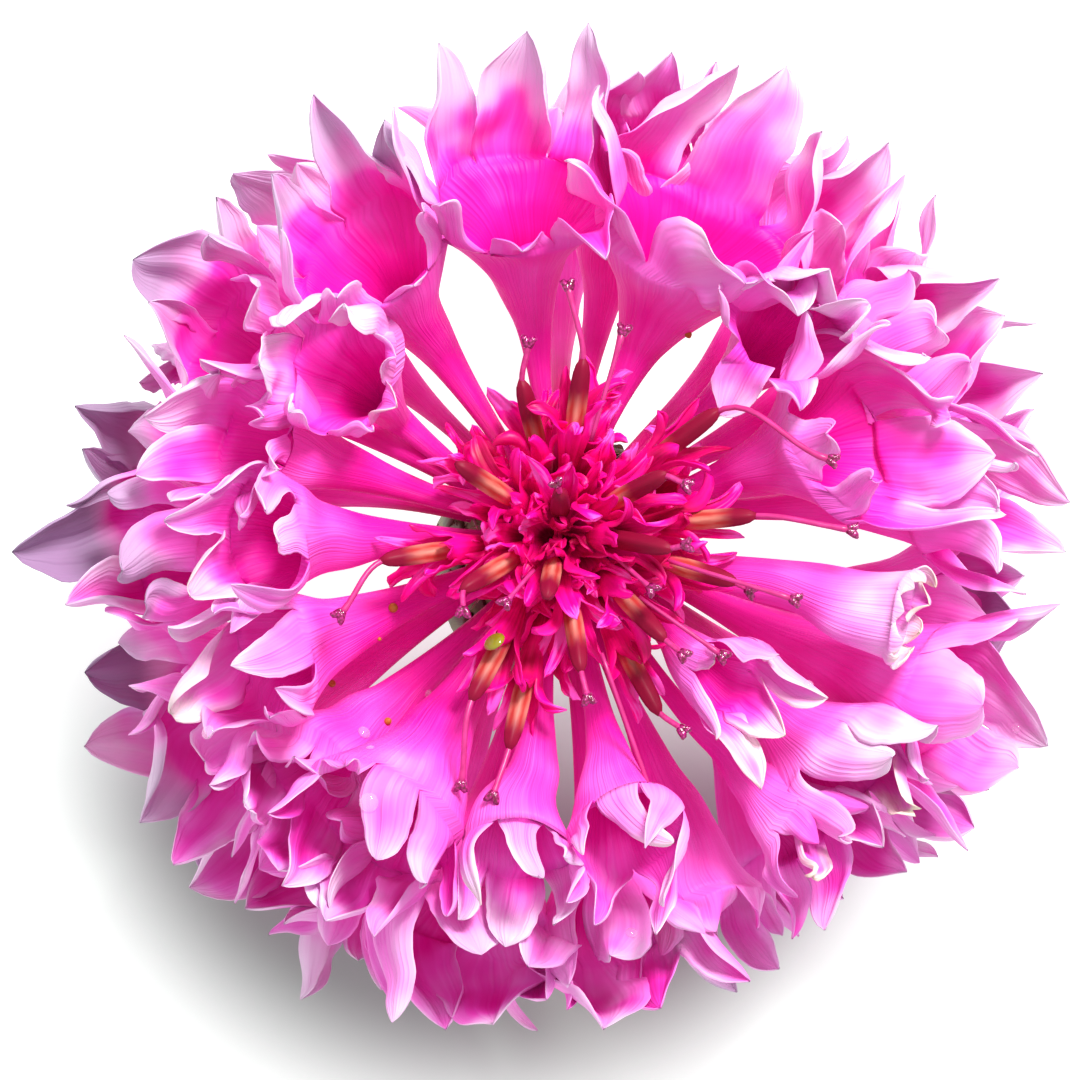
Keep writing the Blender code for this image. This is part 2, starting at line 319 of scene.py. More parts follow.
# %% The floor
FLOOR_REACH = 30.0  # metres
PAPER_GLOW, SHADE_DEPTH = 0.91, 0.89
SHADE_AT = (-2.4, -5.0)  # the middle of the soft shade
SHADE_RADIUS = (19.4, 12.5)  # where it starts and where it is full
SHADE_FRONT = (0.5, -11.5)  # it grows towards the front from here to here
floor_mesh = bpy.data.meshes.new("floor")
corners = [(x * FLOOR_REACH, y * FLOOR_REACH, 0) for x, y in ((-1, -1), (1, -1), (1, 1), (-1, 1))]
floor_mesh.from_pydata(corners, [], [(0, 1, 2, 3)])
floor = bpy.data.objects.new("floor", floor_mesh)
# The paper's own colour is a dim green-grey: a painted correction that cancels the pink light bounced from
# the petals, so its shade reads neutral grey; its white comes from the glow.
paper = Finish("white_paper", (0.40, 0.50, 0.43), 0.9)
spot_x = paper.node("ShaderNodeSeparateXYZ", None, {0: paper.node("ShaderNodeTexCoord", output="Object")})
spot_y = paper.beside(spot_x, 1)
away = ((spot_x - SHADE_AT[0] * MM) ** 2.0 + (spot_y - SHADE_AT[1] * MM) ** 2.0) ** 0.5
dim = paper.steps(spot_y, SHADE_FRONT[0] * MM, SHADE_FRONT[1] * MM)
dim = dim * paper.steps(away, SHADE_RADIUS[0] * MM, SHADE_RADIUS[1] * MM)
lit = PAPER_GLOW - dim * SHADE_DEPTH
paper.glow(paper.node("ShaderNodeCombineXYZ", None, [lit, lit, lit]), 1.0)
floor_mesh.materials.append(paper.material)
scene.collection.objects.link(floor)
print("floor", 2 * FLOOR_REACH, "m wide")

# %% [markdown]
# ## How a ray floret grows
# A ray floret is a fused tube that opens into a slanted trumpet, and the trumpet's edge is cut into
# pointed lobes. It could be sculpted by hand, but a head has dozens of them, so one function grows them
# all. It needs the tube's centre line, then how wide the trumpet is along it, then what each lobe does.
# The florets stand in three whorls on the dome of the heart, and the higher a whorl stands, the more
# steeply its tubes start.

# %% The dome and the whorls
GAP = 0.3  # the feet stand this much clear of the heart
# distance from the axis, height of the heart there
DOME = [(0.0, 13.05), (1.65, 12.95), (2.25, 12.7), (2.9, 12.25), (3.5, 11.7), (3.75, 11.2)]
Whorl = namedtuple("Whorl", "seat_radius start_rise tube_radius seat_height")


def dome_height(radius):
    return float(np.interp(radius, [r for r, z in DOME], [z for r, z in DOME]))


LOWER, MIDDLE, UPPER = (
    Whorl(radius, rise, tube, dome_height(radius))
    for radius, rise, tube in ((3.45, 8, 0.26), (2.85, 28, 0.24), (2.2, 48, 0.22))
)
print("whorls stand at", [round(whorl.seat_height, 2) for whorl in (LOWER, MIDDLE, UPPER)], "mm")

# %% [markdown]
# ## The centre line of a floret
# A tube leaves the heart along its whorl's slope and arrives at the mouth along the way the mouth faces.
# A curve that is given both ends and both directions does that without any points in between. The spine
# that is made of it can be asked for its point and its side directions at any distance.

# %% The centre line of a floret
def smooth_curve(start, start_pull, end, end_pull, count):
    """Points on the curve that leaves start along start_pull and meets end along end_pull."""
    t = np.linspace(0, 1, count)[:, None]
    t2, t3 = t * t, t * t * t
    return (
        start * (2 * t3 - 3 * t2 + 1)
        + start_pull * (t3 - 2 * t2 + t)
        + end * (3 * t2 - 2 * t3)
        + end_pull * (t3 - t2)
    )


class Spine:
    """A centre line that can be asked for its point and its frame at any distance along it."""

    def __init__(self, points, towards):
        self.points = points
        steps = np.linalg.norm(np.diff(points, axis=0), axis=1)
        self.at = np.concatenate([[0.0], np.cumsum(steps)])
        self.length = float(self.at[-1])
        self.tangents = unit(np.gradient(points, self.at, axis=0))
        first = towards - self.tangents * (self.tangents @ towards)[:, None]
        self.first = unit(first)

    def look(self, table, distance):
        found = [np.interp(distance, self.at, table[:, i]) for i in range(3)]
        beyond = np.clip(distance - self.length, 0, None)[..., None]
        return np.stack(found, -1), beyond

    def frame(self, distance):
        """Point, tangent, first and second side directions at these distances."""
        point, beyond = self.look(self.points, distance)
        tangent = unit(self.look(self.tangents, distance)[0])
        first = self.look(self.first, distance)[0]
        first = unit(first - tangent * (first * tangent).sum(-1, keepdims=True))
        return point + tangent * beyond, tangent, first, np.cross(tangent, first)


HORN_LENGTH = 5.2  # the last, straight stretch of a tube is at most this long


def ray_spine(ray):
    """The centre line of a ray floret, from its foot on the dome to its mouth."""
    facing = heading(ray.at + ray.swing, ray.face)
    mouth = polar(ray.at, ray.reach, ray.height)
    throat = mouth - facing * min(HORN_LENGTH, 0.5 * ray.reach)
    start = heading(ray.seat, ray.whorl.start_rise)
    lift = GAP + ray.whorl.tube_radius * math.cos(math.radians(ray.whorl.start_rise))
    foot = polar(ray.seat, ray.whorl.seat_radius, ray.whorl.seat_height + lift)
    pull = np.linalg.norm(throat - foot)
    tube = smooth_curve(foot, start * pull, throat, facing * pull, 40)
    horn = np.linspace(throat, mouth, 24)[1:]
    return Spine(np.concatenate([tube, horn]), UP)


print("centre lines ready")

# %% [markdown]
# ## From a sheet to a skin
# A petal is a sheet with two sides. The sheet is worked out as one layer of four-sided faces; then each
# side is set off by half the petal's thickness and the two are joined round the edge, so the petal is a
# closed skin that can be measured and printed. A piece collects such skins, and solid stalks as well, and
# becomes one mesh.

# %% Collecting parts into a piece
MARKS = ("along", "edge", "inside", "tint", "age")


def face_corners(numbers):
    """The four corners of each face between rows of point numbers, or of their places on the map."""
    return np.stack([numbers[:-1, :-1], numbers[:-1, 1:], numbers[1:, 1:], numbers[1:, :-1]], 2)


class Piece:
    """One object in the making: closed parts, each with its marks and the number of its finish."""

    def __init__(self, name):
        self.name = name
        self.points, self.marks, self.faces, self.uvs, self.finish = [], [], [], [], []
        self.count = 0

    def add(self, points, faces, uvs, marks, finish=0):
        """points (n, 3) in millimetres, faces (m, 4), uvs (m, 4, 2), marks (n, 5)."""
        self.points.append(points)
        self.marks.append(marks)
        self.faces.append(faces + self.count)
        self.uvs.append(uvs)
        self.finish.append(np.full(len(faces), finish))
        self.count += len(points)

    def make(self, *finishes, origin=AXIS):
        """The finished object, in its place round the axis."""
        mesh = bpy.data.meshes.new(self.name)
        places = (np.concatenate(self.points) + origin) * MM
        faces = np.concatenate(self.faces)
        mesh.from_pydata(places.tolist(), [], faces.tolist())
        layer = mesh.uv_layers.new(name="UVMap")
        layer.data.foreach_set("uv", np.concatenate(self.uvs).reshape(-1).astype(np.float32))
        marks = np.concatenate(self.marks).astype(np.float32)
        for i, mark in enumerate(MARKS):
            mesh.attributes.new(mark, "FLOAT", "POINT").data.foreach_set("value", marks[:, i].copy())
        mesh.polygons.foreach_set("material_index", np.concatenate(self.finish).astype(np.int32))
        for finish in finishes:
            mesh.materials.append(finish.material)
        mesh.shade_smooth()
        made = bpy.data.objects.new(self.name, mesh)
        scene.collection.objects.link(made)
        return made


print("marks on every point:", ", ".join(MARKS))

# %% [markdown]
# ## Giving a sheet its two sides
# The layer's points are moved half the petal's thickness to either side, along the average direction of
# the faces round them. An edge that only one face has is on the rim, and there a narrow face joins the
# two sides. Blender's Solidify does much the same, but worked out here the thickness can follow a formula
# and the underside can be marked as such.

# %% A sheet
class Sheet:
    """One layer of points, four-sided faces, places on the map, marks and thickness."""

    def __init__(self):
        self.points, self.marks, self.faces, self.uvs, self.thickness = [], [], [], [], []
        self.count = 0

    def add(self, points, marks, thickness):
        """Adds rows of points; returns their numbers, shaped like the rows."""
        shape = points.shape[:-1]
        total = int(np.prod(shape))
        self.points.append(points.reshape(total, 3))
        self.marks.append(marks.reshape(total, len(MARKS)))
        self.thickness.append(np.broadcast_to(thickness, shape).reshape(total))
        numbers = np.arange(self.count, self.count + total).reshape(shape)
        self.count += total
        return numbers

    def weave(self, numbers, u, v):
        """Faces between rows of point numbers. u and v give each point its place on the map."""
        self.faces.append(face_corners(numbers).reshape(-1, 4))
        uv = np.stack([np.broadcast_to(u, numbers.shape), np.broadcast_to(v, numbers.shape)], -1)
        self.uvs.append(face_corners(uv).reshape(-1, 4, 2))

    def into(self, piece, finish=0):
        """Gives the sheet its two sides and its rim, and adds it to the piece."""
        points, marks = np.concatenate(self.points), np.concatenate(self.marks)
        faces, uvs = np.concatenate(self.faces), np.concatenate(self.uvs)
        corners = points[faces]
        normal = np.cross(corners[:, 2] - corners[:, 0], corners[:, 3] - corners[:, 1])
        gathered = np.zeros_like(points)
        for i in range(4):
            np.add.at(gathered, faces[:, i], normal)
        half = unit(gathered + 1e-12) * np.concatenate(self.thickness)[:, None] / 2
        count = len(points)
        edges = np.concatenate([faces[:, [i, (i + 1) % 4]] for i in range(4)])
        _, where, times = np.unique(np.sort(edges, 1), axis=0, return_index=True, return_counts=True)
        open_edges = where[times == 1]
        rim = edges[open_edges]
        rim_faces = np.stack([rim[:, 1], rim[:, 0], rim[:, 0] + count, rim[:, 1] + count], 1)
        under = marks.copy()
        under[:, MARKS.index("inside")] = 1.0
        piece.add(
            np.concatenate([points + half, points - half]),
            np.concatenate([faces, faces[:, ::-1] + count, rim_faces]),
            np.concatenate([uvs, uvs[:, ::-1], uvs[open_edges % len(faces)]]),
            np.concatenate([marks, under]),
            finish,
        )


print("sheets ready")

# %% [markdown]
# ## The lobes of one limb
# A limb has about seven lobes, and on a real flower no two are alike. Each lobe first gets drawn values
# from the limb's own seed: how long it is, how it curls, sways, twists and cups. A lobe that shows is
# listed instead: its tip's place is given, and the curl with which it arrives there.

# %% How one limb is shaped
# tip: where the lobe ends, or nothing for a lobe that follows its curl and sway. broad: how wide it
# grows. share: its stretch of the rim. tint: above 0 greyish lavender, below 0 deeper pink. age: how dry
# its tip is.
Lobe = namedtuple(
    "Lobe",
    "tip broad curl twist cup tint age long sway share",
    defaults=(None, 1.0, 10, 0, 0.8, 0.0, 0.0, 1.0, 0, 1.0),
)
# lobes: how many. roll: where the first one is. long, broad, narrow: their length and width. lip: how far
# the mouth is slanted. wide: how flat it is. swell: how late it opens. curl, near: degrees that the far
# and near lobes curl. hem: how far their sides fold. wild: how unlike they are. teeth: how ragged.
# throat: its radius.
Limb = namedtuple(
    "Limb",
    "seed lobes roll long lip wide swell curl near cup hem wild tint age teeth narrow throat shaped blunt",
    defaults=(0, 7, 0, 1.2, 1.0, 1.2, 3.6, 10, -25, 0.8, 45, 1.0, 0.0, 0.0, 0.06, 1.0, 0.55, {}, 0.25),
)
# foot, throat, mouth: radius of the tube, where it starts to open, and of the rim. lobe: length of the
# longest lobes. skin: thickness. rows, lobe_rows, columns: how many faces along the tube, along a lobe
# and across it.
Size = namedtuple("Size", "foot throat mouth lobe skin rows lobe_rows columns")


def all_lobes(limb, rng):
    """The lobes of a limb, round the mouth from its upper side. All are drawn, then some replaced."""
    lobes = []
    for k in range(limb.lobes):
        outer = (1 - math.cos(math.radians(limb.roll) + 2 * math.pi * k / limb.lobes)) / 2
        lobes.append(
            Lobe(
                share=rng.uniform(0.8, 1.2),
                long=(0.52 + 0.48 * outer) * rng.uniform(0.86, 1.12),
                curl=limb.near
                + (limb.curl - limb.near) * ease(outer * 1.3)
                + limb.wild * rng.uniform(-34, 34),
                sway=limb.wild * rng.uniform(-18, 18),
                twist=limb.wild * rng.uniform(-55, 55),
                cup=limb.cup * rng.uniform(0.2, 1.7),
                tint=limb.tint,
                age=limb.age,
            )
        )
    for k, lobe in limb.shaped.items():
        lobes[k] = lobe._replace(
            cup=lobe.cup * rng.uniform(0.4, 1.4),
            twist=lobe.twist + rng.uniform(-20, 20),
            tint=lobe.tint or limb.tint,
        )
    return lobes


def lobe_outline(q, teeth, draw, blunt):
    """Half-width of a lobe along it, as a share of its width at the base."""
    outline = (1 - q ** (2.2 + 2 * blunt)) ** (0.95 - 0.45 * blunt) * (1 + 0.50 * q * (1 - blunt / 2))
    saw = np.abs(((q * 5.5 + draw) % 1.0) - 0.5) * 2
    return outline * (1 - teeth * saw * ease((q - 0.25) / 0.2) * (1 - q * 0.5))


def limb_marks(shape, along, edge=0.0, tint=0.0, age=0.0):
    """Marks for points of this shape. `inside` is set later, when the sheet gets its two sides."""
    marks = np.zeros((*shape, len(MARKS)))
    marks[..., 0], marks[..., 1] = along, edge
    marks[..., 3], marks[..., 4] = tint, age
    return marks


print("a limb has", Limb().lobes, "lobes unless it says otherwise")

# %% [markdown]
# ## One lobe
# A lobe starts from its own stretch of the mouth's rim. Its midrib is one line; across it the lobe is an
# arc that turns into a gutter, with hems that may fold over and a few soft ripples. The cross-section is
# walked outwards from the midrib in equal steps, so a fold never stretches the petal.

# %% The midrib and the cross-section of one lobe
def lobe_points(wall, rim, middle, arc, size, limb, lobe, rng):
    """Rows of points of one lobe, from the trumpet's rim to its tip, and its length."""
    phi = np.linspace(-1, 1, size.columns + 1)
    q = np.linspace(0, 1, size.lobe_rows + 1)
    one = np.array([1.0])
    # the rim's own directions where the lobe starts: on along the wall, across it, and into the mouth
    start = wall(np.array([middle]), one)[0]
    along = unit(start - wall(np.array([middle]), one * 0.96)[0])
    across = wall(np.array([middle + 0.02]), one)[0] - start
    across = unit(across - along * (across @ along))
    inwards = np.cross(along, across)

    def draw(low, high):
        return rng.uniform(low, high)

    def turn(a, b, angle):
        """a turned by angle towards b."""
        return a * np.cos(angle)[:, None] + b * np.sin(angle)[:, None]

    wild, cup = limb.wild, lobe.cup
    curl, sway, twist = (math.radians(angle) for angle in (lobe.curl, lobe.sway, lobe.twist))
    ripple, shift, beats = wild * draw(0.03, 0.15), draw(0, 1), draw(1.0, 2.0)
    keel = draw(-0.6, 0.7)
    # the midrib
    if lobe.tip:
        end = seen(*lobe.tip)
        reach = np.linalg.norm(end - start)
        last = turn(unit(end - start)[None], -inwards[None], np.array([curl]))[0]
        middle_line = smooth_curve(start, along * reach, end, last * reach, len(q))
    else:
        reach = size.lobe * limb.long * lobe.long
        rib = turn(turn(along, -inwards, curl * q**1.25), across, sway * q)
        middle_line = np.cumsum((rib[1:] + rib[:-1]) / 2, 0) * reach / size.lobe_rows
        middle_line = start + np.concatenate([[[0, 0, 0]], middle_line])
    # the directions across the lobe and out of its face, twisted more towards the tip
    rib = unit(np.gradient(middle_line, axis=0))
    side = unit(across - rib * (rib @ across)[:, None])
    face = np.cross(rib, side)
    side, face = turn(side, face, twist * q**1.5), turn(face, -side, twist * q**1.5)
    # how much the lobe is bent across and how wide it is
    bend = (arc + (cup - arc) * ease(q / 0.5) + 0.5 * cup * q**3)[:, None]
    half = np.linalg.norm(rim[-1] - rim[0]) / 2 * (1 + (limb.narrow * lobe.broad - 1) * ease(q / 0.3))
    half = (half * lobe_outline(q, limb.teeth, draw(0, 1), limb.blunt))[:, None]
    # the slope of each step across: the bend, a folded hem on either side and ripples
    between = (phi[1:] + phi[:-1]) / 2
    opened = ease(q / 0.35)[:, None]
    slope = bend * between
    for hand in (-1, 1):
        fold = math.radians(limb.hem * rng.choice([0.1, 0.35, 1.0, -0.6]) * draw(0.7, 1.2))
        slope = slope + hand * fold * ease((hand * between - 0.35) / 0.65) * opened
    slope = slope + wild * 0.42 * np.sin(between * 7.5 + shift * 6 + q[:, None]) * opened
    # the steps are added up from one side to the other and set on the midrib; a keel and a wave come on top
    x = np.concatenate([0 * q[:, None], np.cumsum(half * np.cos(slope), 1)], 1) * (phi[1] - phi[0])
    y = np.concatenate([0 * q[:, None], np.cumsum(half * np.sin(slope), 1)], 1) * (phi[1] - phi[0])
    centre = size.columns // 2
    x, y = x - x[:, centre: centre + 1], y - y[:, centre: centre + 1]
    y = y + keel * half * (np.sqrt(phi**2 + 0.04) - 0.2) * ease(q / 0.4)[:, None]
    y = y + ripple * half * np.sin(2 * math.pi * (q * beats + shift))[:, None] * phi * np.abs(phi)
    points = middle_line[:, None] + side[:, None] * x[..., None] + face[:, None] * y[..., None]
    # the first row is laid exactly on the rim
    settle = (1 - ease(q / 0.5))[:, None, None]
    return points + (rim - points[0]) * settle, reach


print("lobes ready")

# %% [markdown]
# ## The whole trumpet
# The trumpet widens slowly at first and quickly near the mouth. Its mouth is cut at a slant: the side
# towards the middle of the head is shorter. Its last row of points is the rim that the lobes grow from.

# %% The whole trumpet
def grow_trumpet(sheet, spine, size, limb):
    """Adds one trumpet with its lobes to a sheet."""
    rng = np.random.default_rng(limb.seed)
    length = spine.length
    lobes = all_lobes(limb, rng)
    shares = np.array([lobe.share for lobe in lobes])
    shares = shares / shares.sum() * 2 * math.pi
    starts = math.radians(limb.roll) - shares[0] / 2 + np.concatenate([[0.0], np.cumsum(shares)])
    steps = np.arange(size.columns) / size.columns
    theta = np.concatenate([starts[k] + steps * shares[k] for k in range(len(lobes))])
    waves = [(int(rng.integers(2, 5)), rng.uniform(0, 6.28), rng.uniform(0.02, 0.04)) for _ in range(3)]

    def wall(angle, share):
        """The trumpet's surface at an angle round it and a share of its length."""
        slant = (1 + np.cos(angle)) / 2
        distance = length * share - limb.lip * slant * share**4
        point, _, first, second = spine.frame(distance)
        x = distance / length
        radius = size.foot + (size.throat - size.foot) * x**1.2 + (size.mouth - size.throat) * x**limb.swell
        ripple = sum(height * np.sin(n * angle + shift) for n, shift, height in waves)
        radius = (radius * (1 + ripple * x**2))[..., None]
        spread = 1 + (limb.wide - 1) * (share**2)[..., None]
        c, s = np.cos(angle)[..., None], np.sin(angle)[..., None]
        return point + first * c * radius / spread**0.5 + second * s * radius * spread

    share = np.linspace(0, 1, size.rows + 1) ** 0.85
    angles, shares_down = np.meshgrid(theta, share)
    body = wall(angles, shares_down)
    overall = length + size.lobe * limb.long
    numbers = sheet.add(body, limb_marks(body.shape[:-1], shares_down * length / overall), size.skin)
    numbers = np.concatenate([numbers, numbers[:, :1]], 1)
    round_it = np.linspace(0, 1, numbers.shape[1]) + limb.seed * 0.37
    sheet.weave(numbers, round_it, (share * length / overall)[:, None] + limb.seed)
    rim = np.concatenate([body[-1], body[-1][:1]])
    phi = np.linspace(-1, 1, size.columns + 1)
    q = np.linspace(0, 1, size.lobe_rows + 1)[:, None]
    for k, lobe in enumerate(lobes):
        mine = slice(k * size.columns, (k + 1) * size.columns + 1)
        points, reach = lobe_points(
            wall, rim[mine], starts[k] + shares[k] / 2, shares[k] / 2, size, limb, lobe, rng
        )
        down = (length + q * reach) / overall
        edge = phi**2 * ease(q[1:] / 0.25)
        thin = size.skin * (1 - 0.6 * np.abs(phi) ** 3 - 0.15 * q[1:])
        grown = limb_marks(edge.shape, down[1:], edge, lobe.tint * ease(q[1:] * 1.4), lobe.age * q[1:])
        new = sheet.add(points[1:], grown, thin)
        rows = np.concatenate([numbers[-1:, mine], new])
        sheet.weave(rows, round_it[mine], down + limb.seed)


print("trumpets ready")

# %% [markdown]
# ## Soft and crumpled
# A petal is so thin that it is never smooth. Waves that run through the flower in drawn directions push
# the sheet's points about, broad waves far and narrow ones a little. A lobe that hangs lowest also has to
# lie along the surface, so points that would sink into it are eased back above it.

# %% Dents, and lobes that lie on the surface
WAVES = ((5.5, 0.16, 6), (2.2, 0.045, 8))  # wavelength, depth, how many


def crumple(sheet, seed):
    """Soft dents all over the limb, none at its foot. The tube's broad dents are a set of their own."""
    for number, (points, marks) in enumerate(zip(sheet.points, sheet.marks)):
        push = np.zeros_like(points)
        for size, (length, depth, many) in enumerate(WAVES):
            rng = np.random.default_rng(seed if number == size == 0 else seed + 1)
            for _ in range(many):
                way, direction = unit(rng.normal(size=3)), unit(rng.normal(size=3))
                phase = points @ way * 2 * math.pi / length + rng.uniform(0, 6.28)
                push += depth * direction * np.sin(phase)[:, None]
        points += push * ease((marks[:, 0] - 0.3) / 0.4)[:, None]


def keep_off_the_floor(sheet, knee=1.2, lowest=0.12):
    """Lobes that would sink into the surface lie along it instead."""
    for points in sheet.points:
        low = points[:, 2] < knee
        points[low, 2] = lowest + (knee - lowest) * np.exp((points[low, 2] - knee) / (knee - lowest))


print("waves in a petal:", sum(many for _, _, many in WAVES))

# %% [markdown]
# ## Petal colour
# The pink is deepest down in the throat and pales towards the tips; the darkest of it, deep in the throat,
# is partly painted shade. The outside of the limb is paler than the inside, and fine veins run the length
# of it.
# Broader streaks along the lobes are painted shade and light of their folds, and the margins are painted
# paler, as a highlight where they roll. Some lobes turn a greyish lavender or a dry cream towards the tip.
# A petal lets light through. Real translucency takes long to render, so the petal gets a faint glow of its
# own colour instead.

# %% The petal finish
petal = Finish("petal_pink", (0.86, 0.06, 0.60), 0.5, Specular_IOR_Level=0.22)
along = petal.attribute("along")
edge = petal.attribute("edge")
inside = petal.attribute("inside")
tint = petal.attribute("tint")
lavender = petal.node("ShaderNodeMath", {"operation": "MAXIMUM"}, [tint, 0.0])
deeper = petal.node("ShaderNodeMath", {"operation": "MINIMUM"}, [tint, 0.0])
age = petal.attribute("age")
veins = petal.along_veins(130.0, 2.6, 3.1, 1.0)
# broad makes wide streaks that are painted shade and light of the lobes' lengthwise folds; veins are the
# petal's own fine veins
broad = petal.along_veins(30.0, 1.6, 9.7, 0.0)
cloud = petal.speckle(420.0, 1.0)
streaks = (broad - 0.5) * 0.12 + (veins - 0.5) * 0.20
mottle = (cloud - 0.5) * 0.48
# edge * 0.13 is a painted highlight: the lobes' margins are paler where they roll and catch the light
pale = along + streaks * (1.35 - along) + mottle + edge * 0.13 + deeper * 0.2 - 0.05
# the ramps' darkest stops, low along the throat, are partly the petal's own deep pink and partly painted
# shade deep inside the trumpet
inner = petal.ramp(
    pale,
    (0.0, (0.54, 0.001, 0.17)),
    (0.45, (0.68, 0.001, 0.27)),
    (0.62, (0.84, 0.008, 0.39)),
    (0.75, (0.90, 0.075, 0.58)),
    (0.87, (0.93, 0.25, 0.76)),
    (1.0, (0.96, 0.62, 0.89)),
)
outer = petal.ramp(
    pale,
    (0.0, (0.58, 0.001, 0.16)),
    (0.16, (0.72, 0.002, 0.28)),
    (0.34, (0.82, 0.012, 0.37)),
    (0.54, (0.88, 0.060, 0.50)),
    (0.70, (0.91, 0.15, 0.66)),
    (0.86, (0.94, 0.34, 0.80)),
    (1.0, (0.96, 0.64, 0.89)),
)
skin_pink = petal.blend(inside, outer, inner)
tips = petal.steps(along + mottle * 1.2, 0.88 - lavender * 0.30, 1.03 - lavender * 0.16)
tips = tips * (0.35 + lavender * 0.6)
# lobes with a tint above 0 turn greyish lavender towards the tip
greyish_tip_colour = petal.blend(petal.steps(lavender, 0.5, 1.2), (0.82, 0.60, 0.82), (0.36, 0.22, 0.38))
skin_pink = petal.blend(tips, skin_pink, greyish_tip_colour)
dried = petal.steps(pale + edge * 0.08, 0.84, 0.99) * age
skin_pink = petal.blend(dried, skin_pink, (0.90, 0.72, 0.58))
petal.use("Base Color", skin_pink)
soaked = petal.steps(along, 0.9, 0.4) * 0.92 + 0.08
petal.glow(petal.blend(soaked, (0.0, 0.0, 0.0), skin_pink), 0.13)
petal.bump(veins, 0.55, 0.15)
print("petal nodes:", len(petal.tree.nodes))

# %% [markdown]
# ## Every ray floret
# Each entry below is one floret: where its foot stands, where its mouth is, which way it looks and how
# its limb is shaped. These numbers are close to those of the solid it replaces, so the soft limb grows in
# the same place. Then come the lobes that show, each by its number round the mouth, counted from the
# upper side, with the place of its tip. The other lobes keep their drawn values.

# %% The table of ray florets
# seat: azimuth of the foot. at, reach, height: the middle of the mouth. face: degrees that the mouth
# looks up. swing: degrees that it looks aside. mouth: its radius. lobe: the length of its longest lobes.
Ray = namedtuple("Ray", "seat at reach height face swing mouth lobe whorl", defaults=(None,))


def tip(azimuth, distance, height, broad=1.0, curl=10, **more):
    """A lobe given one by one: the place of its tip, its width, the curl of its end."""
    return Lobe((azimuth, distance, height), broad, curl, **more)


